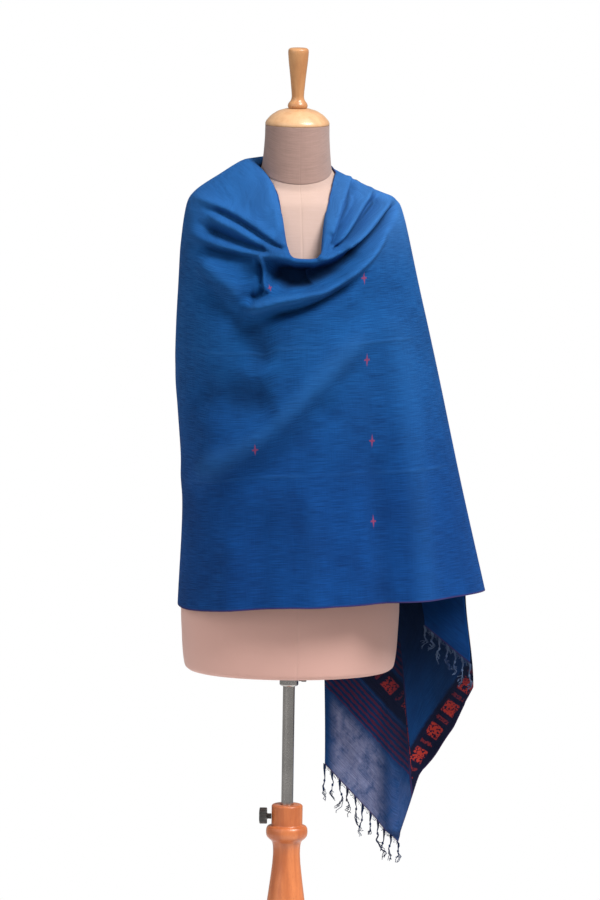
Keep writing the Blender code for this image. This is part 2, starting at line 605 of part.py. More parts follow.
def make_shawl(collection):
    back = ring_grid(SEAM_RIGHT, 360.0 + SEAM_LEFT, BACK_ROWS, crowding=1.3)
    front = ring_grid(SEAM_LEFT, SEAM_RIGHT, FRONT_ROWS, crowding=3.0)
    wall_from_grid(collection, "shawl_front", front, BLUE_CLOTH)
    wall_from_grid(collection, "shawl_back", back, BLUE_CLOTH)

    long_end = hanging_end(back, LONG_END_COLUMNS, LONG_END_TOP_ROW, CLOTH_WALL + 2 * GAP,
                           LONG_END_EDGE, 14, LONG_END_FOLDS)
    wall_from_grid(collection, "shawl_end_long", long_end, BLUE_CLOTH)
    short_end = hanging_end(back, SHORT_END_COLUMNS, SHORT_END_TOP_ROW, -(CLOTH_WALL + 2 * GAP),
                            SHORT_END_EDGE, 5, [])
    wall_from_grid(collection, "shawl_end_short", short_end, BLUE_CLOTH)

    tip = round(LONG_END_TIP * (LONG_END_COLUMNS[1] - LONG_END_COLUMNS[0]))
    long_out = grid_normals(long_end)[-1]
    tassel_fringe(collection, "fringe_long", long_end[-1, ::-1][:tip + 1], long_out[::-1][:tip + 1],
                  LONG_TASSELS, BLUE_FRINGE)
    tassel_fringe(collection, "fringe_short", short_end[-1, ::-1], grid_normals(short_end)[-1, ::-1],
                  SHORT_TASSELS, BLUE_FRINGE)


def main():
    clear_scene()
    collection = make_collection("draped_fringed_shawl")
    make_torso(collection)
    make_neck(collection)
    make_cap_and_finial(collection)
    make_pole(collection)
    make_stand(collection)
    make_knob(collection)
    make_shawl(collection)


main()
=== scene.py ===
import math

import bmesh
import bpy
import numpy as np
from mathutils import Matrix, Vector


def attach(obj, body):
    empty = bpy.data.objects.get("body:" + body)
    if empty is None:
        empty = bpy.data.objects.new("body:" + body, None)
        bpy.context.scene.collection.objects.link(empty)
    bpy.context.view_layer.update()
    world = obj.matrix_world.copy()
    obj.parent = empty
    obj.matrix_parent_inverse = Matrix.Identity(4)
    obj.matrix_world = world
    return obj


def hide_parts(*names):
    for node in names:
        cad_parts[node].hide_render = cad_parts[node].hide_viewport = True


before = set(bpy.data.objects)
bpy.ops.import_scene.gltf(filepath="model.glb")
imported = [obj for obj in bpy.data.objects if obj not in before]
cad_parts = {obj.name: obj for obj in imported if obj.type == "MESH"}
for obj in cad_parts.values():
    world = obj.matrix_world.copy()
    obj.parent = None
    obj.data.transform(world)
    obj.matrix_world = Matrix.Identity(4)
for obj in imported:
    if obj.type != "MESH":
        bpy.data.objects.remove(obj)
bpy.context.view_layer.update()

gap = 0.0003              # clearance between pieces that touch, as in the model
viewTilt = math.radians(8.0)   # the front folds are laid out as seen from 8 degrees above level
print("frame loaded:", len(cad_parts), "nodes")


# Small helpers for curves and surfaces

def spline(rows, part):
    # a smooth curve through the rows, part 0 at the first and 1 at the last
    rows = np.array(rows, float)
    last = len(rows) - 1
    place = np.clip(np.asarray(part, float) * last, 0.0, last - 1e-9)
    first = place.astype(int)
    f = (place - first)[..., None]
    padded = np.vstack([2 * rows[0] - rows[1], rows, 2 * rows[-1] - rows[-2]])
    p0, p1, p2, p3 = padded[first], padded[first + 1], padded[first + 2], padded[first + 3]
    return 0.5 * (2 * p1 + (p2 - p0) * f + (2 * p0 - 5 * p1 + 4 * p2 - p3) * f ** 2
                  + (3 * p1 - p0 - 3 * p2 + p3) * f ** 3)


def unit(vectors):
    return vectors / np.maximum(np.linalg.norm(vectors, axis=-1, keepdims=True), 1e-12)


def stepUp(low, high, value):
    s = np.clip((value - low) / (high - low), 0.0, 1.0)
    return s * s * (3 - 2 * s)


def travelled(points, axis):
    # distance along one axis of a grid of points, from its first row or column
    steps = np.linalg.norm(np.diff(points, axis=axis), axis=-1)
    start = np.zeros_like(np.take(steps, [0], axis=axis))
    return np.concatenate([start, np.cumsum(steps, axis=axis)], axis=axis)


def newPiece(name, mesh, material, smooth=True):
    piece = bpy.data.objects.new(name, mesh)
    bpy.context.scene.collection.objects.link(piece)
    mesh.materials.clear()
    mesh.materials.append(material)
    if smooth:
        mesh.shade_smooth()
    return piece


def applied(piece):
    # the piece's modifiers made part of its mesh
    bpy.context.view_layer.update()
    evaluated = piece.evaluated_get(bpy.context.evaluated_depsgraph_get())
    mesh = bpy.data.meshes.new_from_object(evaluated)
    piece.modifiers.clear()
    piece.data = mesh
    return piece


def gridMesh(name, grid, uv, values):
    # quads between the rows of a grid; uv is in metres, values are the named numbers each point keeps
    rows, columns = grid.shape[:2]
    faces = [(r * columns + c, (r + 1) * columns + c, (r + 1) * columns + c + 1, r * columns + c + 1)
             for r in range(rows - 1) for c in range(columns - 1)]
    mesh = bpy.data.meshes.new(name)
    mesh.from_pydata(grid.reshape(-1, 3).tolist(), [], faces)
    ends = np.zeros(2 * len(mesh.edges), int)
    mesh.edges.foreach_get("vertices", ends)
    row, column = np.divmod(ends.reshape(-1, 2), columns)
    onBorder = [(row == 0), (row == rows - 1), (column == 0), (column == columns - 1)]
    mesh.edges.foreach_set("use_edge_sharp", np.any([both.all(axis=1) for both in onBorder], axis=0))
    layer = mesh.uv_layers.new(name="UVMap")
    loopVerts = np.zeros(len(mesh.loops), int)
    mesh.loops.foreach_get("vertex_index", loopVerts)
    layer.data.foreach_set("uv", uv.reshape(-1, 2)[loopVerts].ravel())
    for label, numbers in values.items():
        mesh.attributes.new(label, "FLOAT", "POINT").data.foreach_set("value", numbers.ravel())
    return mesh


# Node helpers and the effects that several finishes share

def feed(value, socket):
    if isinstance(value, bpy.types.NodeSocket):
        socket.id_data.links.new(value, socket)
    else:
        socket.default_value = value


def nodeFor(values, kind, **inputs):
    # a node in the tree that the first socket among the values belongs to
    tree = next(value.id_data for value in values if isinstance(value, bpy.types.NodeSocket))
    return newNode(tree, kind, **inputs)


def newNode(tree, kind, **inputs):
    node = tree.nodes.new(kind)
    for label, value in inputs.items():
        feed(value, node.inputs[label.replace("_", " ")])
    return node


def calcOf(operation):
    # a function that works on numbers and sockets
    def calc(*values, clamp=False):
        node = nodeFor(values, "ShaderNodeMath")
        node.operation = operation
        node.use_clamp = clamp
        for value, socket in zip(values, node.inputs):
            feed(value, socket)
        return node.outputs[0]

    return calc


times, plus, minus, divided = (calcOf(name) for name in ("MULTIPLY", "ADD", "SUBTRACT", "DIVIDE"))
timesPlus, greater, lesser = (calcOf(name) for name in ("MULTIPLY_ADD", "MAXIMUM", "MINIMUM"))
absolute, sine, cosine, fraction = (calcOf(name) for name in ("ABSOLUTE", "SINE", "COSINE", "FRACT"))


def remap(value, fromLow, fromHigh, toLow=0.0, toHigh=1.0, smooth=True):
    node = nodeFor([value], "ShaderNodeMapRange", Value=value, From_Min=fromLow, From_Max=fromHigh,
                   To_Min=toLow, To_Max=toHigh)
    node.interpolation_type = "SMOOTHSTEP" if smooth else "LINEAR"
    return node.outputs[0]


def mixColors(factor, first, second, blend="MIX"):
    node = nodeFor((factor, first, second), "ShaderNodeMix")
    node.data_type = "RGBA"
    node.blend_type = blend
    for value, label in ((factor, "Factor"), (first, 6), (second, 7)):
        feed(value, node.inputs[label])
    return node.outputs[2]


def scaled(vector, scale, offset=(0.0, 0.0, 0.0)):
    return nodeFor([vector], "ShaderNodeMapping", Vector=vector, Scale=scale, Location=offset).outputs[0]


def axisOf(vector, axis):
    return nodeFor([vector], "ShaderNodeSeparateXYZ", Vector=vector).outputs[axis]


def cloudy(vector, scale, detail=2.0, roughness=0.5):
    return nodeFor([vector], "ShaderNodeTexNoise", Vector=vector, Scale=scale, Detail=detail,
                   Roughness=roughness).outputs["Fac"]


def newGroup(name, inputs, outputs):
    # inputs are (name, kind, default) rows, outputs (name, kind) rows
    group = bpy.data.node_groups.new(name, "ShaderNodeTree")
    for label, kind, default in [("Vector", "Vector", None), *inputs]:
        socket = group.interface.new_socket(label, in_out="INPUT", socket_type="NodeSocket" + kind)
        if default is not None:
            socket.default_value = default
    for label, kind in outputs:
        group.interface.new_socket(label, in_out="OUTPUT", socket_type="NodeSocket" + kind)
    return group, group.nodes.new("NodeGroupInput").outputs, group.nodes.new("NodeGroupOutput").inputs


def useGroup(group, **values):
    node = nodeFor(values.values(), "ShaderNodeGroup")
    node.node_tree = group
    for label, value in values.items():
        feed(value, node.inputs[label.replace("_", " ")])
    return node.outputs


def wearOn(vector, patch, speck):
    return useGroup(wearGroup, Vector=vector, Patch_Scale=patch, Speck_Scale=speck)


def makeWeaveGroup():
    # plain weave on UV in metres: raised threads over and under, and slubs that run along the weft
    group, given, out = newGroup("plainWeave", [("Pitch", "Float", 0.0009), ("Slub", "Float", 0.5)],
                                 [("Height", "Float"), ("Thread", "Float"), ("Streak", "Float")])
    place = given["Vector"]
    drift = cloudy(scaled(place, (60.0, 60.0, 1.0)), 1.0)
    turn = divided(math.pi, given["Pitch"])
    shift = times(minus(drift, 0.5), 2.2)
    across, along = (plus(times(axisOf(place, axis), turn), shift) for axis in (0, 1))
    over = remap(times(cosine(across), cosine(along)), -0.35, 0.35)
    top = plus(times(absolute(sine(across)), over), times(absolute(sine(along)), minus(1.0, over)))
    streaks = cloudy(scaled(place, (30.0, 1100.0, 1.0)), 1.0, 3.0, 0.6)
    warpStreaks = cloudy(scaled(place, (1300.0, 24.0, 1.0)), 1.0, 2.0, 0.6)
    slub = times(remap(streaks, 0.56, 0.72), given["Slub"])
    feed(plus(top, slub), out["Height"])
    feed(over, out["Thread"])
    feed(remap(plus(times(streaks, 0.82), times(warpStreaks, 0.18)), 0.36, 0.64), out["Streak"])
    return group


def makeMotifGroup():
    # one small woven spindle with a short bar in each cell of a regular grid
    group, given, out = newGroup("wovenSpindles", [
        ("Across", "Float", 0.184), ("Up", "Float", 0.127), ("Start Across", "Float", 0.0),
        ("Start Up", "Float", 0.0)], [("Mask", "Float")])
    halfWidth, halfHeight, barWidth, barHeight = 0.0019, 0.0105, 0.0046, 0.0013
    local = []
    for axis, step in enumerate(("Across", "Up")):
        moved = minus(axisOf(given["Vector"], axis), given["Start " + step])
        inside = minus(fraction(plus(divided(moved, given[step]), 0.5)), 0.5)
        local.append(absolute(times(inside, given[step])))
    rough = times(minus(cloudy(scaled(given["Vector"], (300.0, 1500.0, 1.0)), 1.0), 0.5), 0.9)
    spindle = plus(divided(local[0], halfWidth), divided(local[1], halfHeight))
    bar = greater(divided(local[0], barWidth), divided(local[1], barHeight))
    feed(remap(plus(lesser(spindle, bar), rough), 0.85, 1.15, 1.0, 0.0), out["Mask"])
    return group


def makeGrainGroup():
    # turned wood: long grain that runs up the piece, growth rings and fine pores
    group, given, out = newGroup("turnedGrain", [
        ("Pale", "Color", None), ("Dark", "Color", None), ("Figure", "Float", 1.0)],
        [("Color", "Color"), ("Height", "Float"), ("Roughness", "Float")])
    place, dark = given["Vector"], given["Dark"]
    figure = times(cloudy(scaled(place, (26.0, 34.0, 2.6), (0.3, 0.1, 0.0)), 1.0, 3.0, 0.55), 7.0)
    rings = timesPlus(sine(times(figure, 3.0)), 0.5, 0.5)
    fibre = cloudy(scaled(place, (900.0, 900.0, 30.0)), 1.0, 3.0, 0.65)
    pores = remap(cloudy(scaled(place, (1500.0, 1500.0, 60.0)), 1.0, 1.0), 0.62, 0.72)
    tone = times(timesPlus(rings, 0.55, times(fibre, 0.45)), given["Figure"], clamp=True)
    feed(mixColors(times(pores, 0.35), mixColors(tone, given["Pale"], dark), dark), out["Color"])
    feed(minus(fibre, pores), out["Height"])
    feed(remap(fibre, 0.3, 0.7, 0.3, 0.44), out["Roughness"])
    return group


def makeWearGroup():
    # soft uneven patches and small specks, for dust, handling and fading
    group, given, out = newGroup("softWear", [("Patch Scale", "Float", 9.0), ("Speck Scale", "Float", 220.0)],
                                 [("Patch", "Float"), ("Speck", "Float")])
    feed(remap(cloudy(given["Vector"], given["Patch Scale"], 3.0, 0.55), 0.35, 0.65), out["Patch"])
    feed(remap(cloudy(given["Vector"], given["Speck Scale"], 2.0), 0.62, 0.74), out["Speck"])
    return group


weaveGroup = makeWeaveGroup()
motifGroup = makeMotifGroup()
grainGroup = makeGrainGroup()
wearGroup = makeWearGroup()


def newMaterial(name, roughness=0.6, metallic=0.0, **fixed):
    material = bpy.data.materials.new(name)
    material.use_nodes = True
    shader = material.node_tree.nodes["Principled BSDF"]
    for label, value in {"Roughness": roughness, "Metallic": metallic, **fixed}.items():
        shader.inputs[label.replace("_", " ")].default_value = value
    return material, material.node_tree, shader


def clothMaterial(name, roughness):
    # blue handloom cloth and its yarn
    return newMaterial(name, roughness, Sheen_Weight=0.05, Specular_IOR_Level=0.12)


def onObject(tree):
    return tree.nodes.new("ShaderNodeTexCoord").outputs["Object"]


def onUv(tree):
    return tree.nodes.new("ShaderNodeTexCoord").outputs["UV"]


def pointValue(tree, name):
    # a number that each point of the mesh keeps
    node = tree.nodes.new("ShaderNodeAttribute")
    node.attribute_name = name
    return node.outputs["Fac"]


def finish(shader, color, roughness, height, distance, strength):
    bump = nodeFor([height], "ShaderNodeBump", Height=height, Distance=distance, Strength=strength)
    feed(bump.outputs[0], shader.inputs["Normal"])
    feed(color, shader.inputs["Base Color"])
    feed(roughness, shader.inputs["Roughness"])


def standsFor(piece, node, body):
    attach(piece, body)
    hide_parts(node)


print("shared effects ready")


# The dress form

formPiece = {
    "turn": math.radians(6.0),     # the form stands turned a little on its pole
    "neckSeam": 1.528,             # height of the neck seam on the pole's axis
    "capBottom": 1.597,
    "capRadius": 0.0496,
    "around": 128,
    "up": 150,
    "neckUp": 40,
    "seamDepth": 0.0003,           # how far the centre seam dips into the linen
    "chestLinen": (0.61, 0.435, 0.375, 1.0),
    "chestShade": (0.56, 0.385, 0.31, 1.0),
    "hemShadeLinen": (0.74, 0.405, 0.34, 1.0),    # the hip below the shawl's hem, pinker: painted shade of the hem
    "neckLinen": (0.48, 0.3, 0.25, 1.0),
    "neckShade": (0.3, 0.19, 0.155, 1.0),
}

# height, half width, front, back, tilt
formSections = [
    (0.746, 0.15, 0.104, 0.108, 0.0),
    (0.749, 0.158, 0.111, 0.115, 0.0),
    (0.759, 0.164, 0.115, 0.119, 0.0),
    (0.8, 0.168, 0.118, 0.122, 0.0),
    (0.87, 0.169, 0.119, 0.123, 0.0),
    (0.96, 0.154, 0.108, 0.109, 0.0),
    (1.06, 0.124, 0.094, 0.09, 0.0),
    (1.14, 0.122, 0.095, 0.088, 0.0),
    (1.22, 0.138, 0.11, 0.096, 0.0),
    (1.3, 0.153, 0.13, 0.102, 0.0),
    (1.37, 0.158, 0.118, 0.104, 0.0),
    (1.425, 0.159, 0.1, 0.1, 0.0),
    (1.46, 0.153, 0.086, 0.092, 0.0),
    (1.482, 0.136, 0.077, 0.084, 0.03),
    (1.496, 0.106, 0.068, 0.075, 0.1),
    (1.507, 0.08, 0.061, 0.066, 0.2),
    (1.517, 0.062, 0.056, 0.06, 0.3),
    (1.528, 0.0535, 0.053, 0.055, 0.345),
]


def torsoSections():
    rims = np.array(formSections[:4])
    between = spline(formSections, np.linspace(0.25, 1.0, 22))
    return np.vstack([rims, between[between[:, 0] > rims[-1, 0] + 0.01]])


clearSections = torsoSections()


def formMeasures(z):
    return [np.interp(z, clearSections[:, 0], clearSections[:, k]) for k in range(1, 5)]


def formField(points):
    # below 0 inside the form and its neck, above 0 outside
    cosTurn, sinTurn = math.cos(formPiece["turn"]), math.sin(formPiece["turn"])
    x = points[..., 0] * cosTurn + points[..., 1] * sinTurn
    y = points[..., 1] * cosTurn - points[..., 0] * sinTurn
    level = points[..., 2]
    for _ in range(4):
        level = points[..., 2] - formMeasures(level)[3] * y
    halfWidth, front, back, _ = formMeasures(level)
    depth = np.where(y < 0, front, back)
    return np.sqrt((x / halfWidth) ** 2 + (y / depth) ** 2) - 1.0


def clearOfForm(points, distance):
    # moves points that lie too near the form out along its slope
    reach = 0.0005
    for _ in range(6):
        value = formField(points)
        slope = np.stack([formField(points + reach * axis) - formField(points - reach * axis)
                          for axis in np.eye(3)], axis=-1) / (2 * reach)
        steep = np.maximum(np.linalg.norm(slope, axis=-1), 1e-6)
        short = np.clip(distance - value / steep, 0.0, 0.01)
        points = points + (short / steep)[..., None] * slope
    return points


def formAngles(around):
    # even angles from the back round, with close columns beside the front and back seams
    angles = np.linspace(0.0, 2 * math.pi, around, endpoint=False) + math.pi / 2
    for seam in (0, around // 2):
        for side, degrees in ((-2, -1.6), (-1, -0.5), (1, 0.5), (2, 1.6)):
            angles[(seam + side) % around] = angles[seam] + math.radians(degrees)
    return angles


def formRing(row, angles):
    z, halfWidth, front, back, tilt = row
    dip = np.zeros_like(angles)
    dip[0] = dip[len(angles) // 2] = formPiece["seamDepth"]
    x = (halfWidth - dip) * np.cos(angles)
    y = (np.where(np.sin(angles) < 0, front, back) - dip) * np.sin(angles)
    return np.stack([x, y, z + tilt * y], axis=-1) @ np.array(Matrix.Rotation(formPiece["turn"], 3, "Z")).T


def loftedBody(name, rings, material):
    # a closed body through rings that run upwards, its caps drawn in to the middle
    grid = np.array(rings)
    closed = np.concatenate([grid, grid[:, :1]], axis=1)
    around = travelled(closed, 1)
    up = travelled(closed, 0)
    uv = np.stack([around - around[:, -1:] / 2, up + grid[0, 0, 2]], axis=-1)
    bm = bmesh.new()
    layer = bm.loops.layers.uv.new("UVMap")
    count = grid.shape[1]
    verts = [[bm.verts.new(point) for point in ring] for ring in grid]
    for r in range(len(grid) - 1):
        for c in range(count):
            n = (c + 1) % count
            face = bm.faces.new((verts[r][c], verts[r][n], verts[r + 1][n], verts[r + 1][c]))
            for loop, spot in zip(face.loops, (uv[r, c], uv[r, c + 1], uv[r + 1, c + 1], uv[r + 1, c])):
                loop[layer].uv = spot
    for ring, row, flip in ((verts[0], 0, True), (verts[-1], -1, False)):
        middle = bm.verts.new(grid[row].mean(axis=0))
        for c in range(count):
            n = (c + 1) % count
            corners = (ring[n], ring[c], middle) if flip else (ring[c], ring[n], middle)
            face = bm.faces.new(corners)
            for loop in face.loops:
                loop[layer].uv = (loop.vert.co.x, loop.vert.co.y)
    mesh = bpy.data.meshes.new(name)
    bm.to_mesh(mesh)
    bm.free()
    return newPiece(name, mesh, material)


def linenMaterial(name, pale, dark, seamShade):
    roughness = 0.85
    material, tree, shader = newMaterial(name, roughness, Sheen_Weight=0.25, Sheen_Roughness=0.5)
    uv, place = onUv(tree), onObject(tree)
    weave = useGroup(weaveGroup, Vector=uv, Pitch=0.00075, Slub=0.35)
    wear = wearOn(place, 7.0, 300.0)
    level = axisOf(place, 2)
    color = mixColors(plus(times(weave["Streak"], 0.5), times(wear["Patch"], 0.35), clamp=True), pale, dark)
    color = mixColors(times(weave["Thread"], 0.1), color, dark)
    color = mixColors(times(wear["Speck"], 0.12), color, dark)
    # painted shade below the shawl's hem: the linen pinker towards the bottom
    color = mixColors(remap(level, 0.84, 1.1, 0.75, 0.0), color, formPiece["hemShadeLinen"])
    seam = remap(absolute(axisOf(uv, 0)), 0.0003, 0.0016, 1.0, 0.0)
    seam = times(seam, remap(level, 0.9, 1.3, 0.2, 1.0))
    color = mixColors(times(seam, seamShade), color, dark)
    finish(shader, color, roughness, minus(weave["Height"], times(seam, 4.0 * seamShade)), 0.00025, 0.6)
    return material


def makeForm():
    size = formPiece
    angles = formAngles(size["around"])
    seam, width, cut = formSections[-1], size["capRadius"], size["neckSeam"]
    collarStart = [side + 0.0007 for side in seam[1:4]]
    neckRows = [(cut + gap, *seam[1:]), (cut + 0.0014, *collarStart, seam[4]),
                (1.536, 0.0531, 0.0528, 0.0547, 0.3), (1.553, 0.0515, 0.0515, 0.053, 0.16),
                (1.575, 0.05, 0.05, 0.0505, 0.04), (1.59, 0.0496, 0.0496, 0.0498, 0.01),
                (size["capBottom"] - gap, width, width, width, 0.0)]
    for node, rows, count, cloth, shade, seamShade, slot in (
            ("torso", formSections, size["up"], "chestLinen", "chestShade", 0.4, "form_linen"),
            ("neck", neckRows, size["neckUp"], "neckLinen", "neckShade", 0.0, "neck_linen")):
        material = linenMaterial(cloth, size[cloth], size[shade], seamShade)
        sections = spline(rows, np.linspace(0.0, 1.0, count))
        piece = loftedBody("linen_" + node, [formRing(row, angles) for row in sections], material)
        standsFor(piece, node, "form")
    print("dress form done")


makeForm()


# Turned wood and metal

turnedPiece = {
    "steps": 96,
    "sharpFrom": 38.0,         # degrees between faces from which an edge is sharp
    "merge": 0.00002,          # points nearer than this are joined
    "rounding": 0.0035,        # how far the corners are cut back at most
    "capTop": 1.6225,
    "poleRadius": 0.0093,
    "socketTop": 0.534,
    "socketRadius": 0.0242,
    "boreFloor": 0.06,
    "baseRadius": 0.2,
    "baseTop": 0.04,
    "collarRadius": 0.0147,
    "collarHeight": 0.024,
    "screwDrop": 0.015,
    "screwLength": 0.012,
    "formBottom": 0.746,
    "poleFoot": 0.2,
    "paleWood": ((0.8, 0.49, 0.26, 1.0), (0.54, 0.26, 0.11, 1.0)),
    "deepPaleWood": ((0.76, 0.4, 0.17, 1.0), (0.44, 0.165, 0.055, 1.0)),
    "orangeWood": ((0.7, 0.225, 0.075, 1.0), (0.37, 0.085, 0.024, 1.0)),
}


def turned(name, profile, material, smoothing=6):
    # a solid turned round the pole's axis from (radius, height) rows, top to bottom
    rows = [profile[0]]
    for before, here, after in zip(profile, profile[1:], profile[2:]):
        rows += roundedCorner(before, here, after, smoothing)
    rows.append(profile[-1])
    mesh = bpy.data.meshes.new(name)
    edges = [(i, i + 1) for i in range(len(rows) - 1)]
    if profile[0][0] > 0.0:
        edges.append((len(rows) - 1, 0))
    mesh.from_pydata([(radius, 0.0, z) for radius, z in rows], edges, [])
    piece = newPiece(name, mesh, material, smooth=False)
    screw = piece.modifiers.new("Turn", "SCREW")
    screw.axis = "Z"
    screw.steps = screw.render_steps = turnedPiece["steps"]
    screw.use_merge_vertices = True
    screw.merge_threshold = turnedPiece["merge"]
    applied(piece)
    bm = bmesh.new()
    bm.from_mesh(piece.data)
    bmesh.ops.remove_doubles(bm, verts=bm.verts, dist=turnedPiece["merge"])
    bmesh.ops.recalc_face_normals(bm, faces=bm.faces)
    bm.to_mesh(piece.data)
    bm.free()
    piece.data.shade_smooth()
    piece.data.set_sharp_from_angle(angle=math.radians(turnedPiece["sharpFrom"]))
    return piece


def roundedCorner(before, here, after, count):
    # a corner of the profile cut back by a small curve
    a, b, c = (np.array(point) for point in (before, here, after))
    lengths = np.linalg.norm(a - b), np.linalg.norm(c - b)
    if min(lengths) < 1e-6:
        return [here]
    back = min(turnedPiece["rounding"], 0.42 * lengths[0], 0.42 * lengths[1])
    start, end = b + (a - b) / lengths[0] * back, b + (c - b) / lengths[1] * back
    shares = np.arange(count + 1) / count
    return [tuple((1 - f) ** 2 * start + 2 * f * (1 - f) * b + f * f * end) for f in shares]


def woodMaterial(name, colors, figure, coat):
    material, tree, shader = newMaterial(name, Coat_Weight=coat, Coat_Roughness=0.18)
    place = onObject(tree)
    pale, dark = colors
    grain = useGroup(grainGroup, Vector=place, Pale=pale, Dark=dark, Figure=figure)
    wear = wearOn(place, 24.0, 420.0)
    color = mixColors(times(wear["Patch"], 0.22), grain["Color"], dark)
    color = mixColors(times(wear["Speck"], 0.25), color, dark)
    finish(shader, color, grain["Roughness"], grain["Height"], 0.00012, 0.5)
    return material


def metalMaterial(name, color, roughness):
    material, tree, shader = newMaterial(name, metallic=1.0)
    place = onObject(tree)
    wear = wearOn(place, 30.0, 600.0)
    drawn = cloudy(scaled(place, (260.0, 260.0, 6.0)), 1.0, 2.0)
    dull = tuple(0.72 * part for part in color[:3]) + (1.0,)
    rough = plus(plus(times(drawn, 0.12), roughness - 0.06), times(wear["Speck"], 0.12))
    finish(shader, mixColors(times(wear["Patch"], 0.5), color, dull), rough, drawn, 0.00004, 0.4)
    return material


def makeWood():
    size = turnedPiece
    paleWood = woodMaterial("paleTurnedWood", size["paleWood"], 0.75, 0.35)
    finialWood = woodMaterial("finialWood", size["deepPaleWood"], 0.85, 0.35)
    orangeWood = woodMaterial("orangeTurnedWood", size["orangeWood"], 0.9, 0.25)
    capTop, capRadius, capBottom = size["capTop"], formPiece["capRadius"], formPiece["capBottom"]
    cap = turned("turned_neck_cap", [
        (0.0, capTop), (0.016, capTop), (0.03, capTop - 0.004), (0.041, capTop - 0.011),
        (0.048, capTop - 0.019), (capRadius, capTop - 0.0225), (capRadius, capBottom),
        (0.0, capBottom)], paleWood)
    seat = capTop + gap
    finial = turned("turned_finial", [
        (0.0, 1.7165), (0.013, 1.7155), (0.0156, 1.713), (0.016, 1.709), (0.015, 1.696),
        (0.012, 1.67), (0.0098, 1.647), (0.0094, 1.64), (0.0105, 1.635), (0.0145, 1.63),
        (0.0156, 1.6262), (0.0145, seat), (0.0, seat)], finialWood)
    bore = size["poleRadius"] + gap
    socketTop, socketRadius = size["socketTop"], size["socketRadius"]
    foot = size["baseTop"] + gap
    column = turned("turned_column", [
        (0.0, size["boreFloor"]), (bore, size["boreFloor"]), (bore, socketTop),
        (socketRadius - 0.002, socketTop), (socketRadius, socketTop - 0.002), (socketRadius, 0.501),
        (0.03, 0.5), (0.032, 0.496), (0.0325, 0.49), (0.0315, 0.484), (0.0285, 0.4805), (0.023, 0.476),
        (0.0212, 0.468), (0.0209, 0.456), (0.022, 0.44), (0.025, 0.415), (0.0291, 0.384), (0.0335, 0.34),
        (0.0355, 0.3), (0.0345, 0.25), (0.03, 0.19), (0.024, 0.135), (0.0225, 0.11), (0.03, 0.102),
        (0.033, 0.095), (0.033, 0.088), (0.029, 0.082), (0.029, 0.07), (0.038, 0.056), (0.042, 0.048),
        (0.042, foot), (0.0, foot)], orangeWood)
    baseTop, baseRadius = size["baseTop"], size["baseRadius"]
    base = turned("turned_base", [
        (0.0, baseTop), (0.052, baseTop), (0.06, 0.037), (0.1, 0.0335), (0.15, 0.029),
        (0.185, 0.024), (0.196, 0.02), (baseRadius, 0.014), (baseRadius, 0.005),
        (0.196, 0.0), (0.0, 0.0)], orangeWood)
    standsFor(cap, "neck_cap", "form")
    standsFor(finial, "finial", "form")
    standsFor(column, "column", "stand")
    standsFor(base, "base", "stand")
    print("turned wood done")


makeWood()


def makeMetal():
    size = turnedPiece
    chrome = metalMaterial("poleChrome", (0.6, 0.57, 0.54, 1.0), 0.22)
    darkMetal = metalMaterial("screwMetal", (0.1, 0.09, 0.085, 1.0), 0.38)
    top = size["formBottom"] - gap
    radius = size["poleRadius"]
    foot = size["poleFoot"]
    pole = turned("height_pole", [(0.0, top), (radius, top), (radius, foot + 0.001), (radius - 0.001, foot),
                                  (0.0, foot)], chrome)
    low = top - size["collarHeight"]
    collar = turned("pole_collar", [
        (radius + gap, low), (radius + gap, top), (size["collarRadius"], top),
        (size["collarRadius"], low + 0.0015), (size["collarRadius"] - 0.0015, low)], chrome)
    standsFor(pole, "pole", "mast")
    standsFor(collar, "collar", "form")
    length = size["screwLength"]
    screw = turned("collar_thumb_screw", [
        (0.0, length), (0.0024, length), (0.0032, length - 0.001), (0.0032, 0.0046), (0.0023, 0.004),
        (0.0023, 0.0), (0.0, 0.0)], darkMetal, smoothing=3)
    place = Matrix.Translation((size["collarRadius"] + gap, 0.0, top - size["screwDrop"]))
    screw.data.transform(place @ Matrix.Rotation(math.radians(90.0), 4, "Y"))
    standsFor(screw, "collar_screw", "form")
    print("metal done")


makeMetal()


knobPiece = {
    "lobes": 5,
    "pointsEach": 14,
    "edgeRows": 7,
    "sharpFrom": 50.0,
    "headRadius": 0.0112,
    "lobeDepth": 0.0022,
    "stemRadius": 0.0042,
    "headStart": -0.031,
    "headEnd": -0.043,
    "edge": 0.0018,
    "height": 0.515,
    "black": (0.02, 0.018, 0.017, 1.0),
    "worn": (0.06, 0.056, 0.052, 1.0),
}


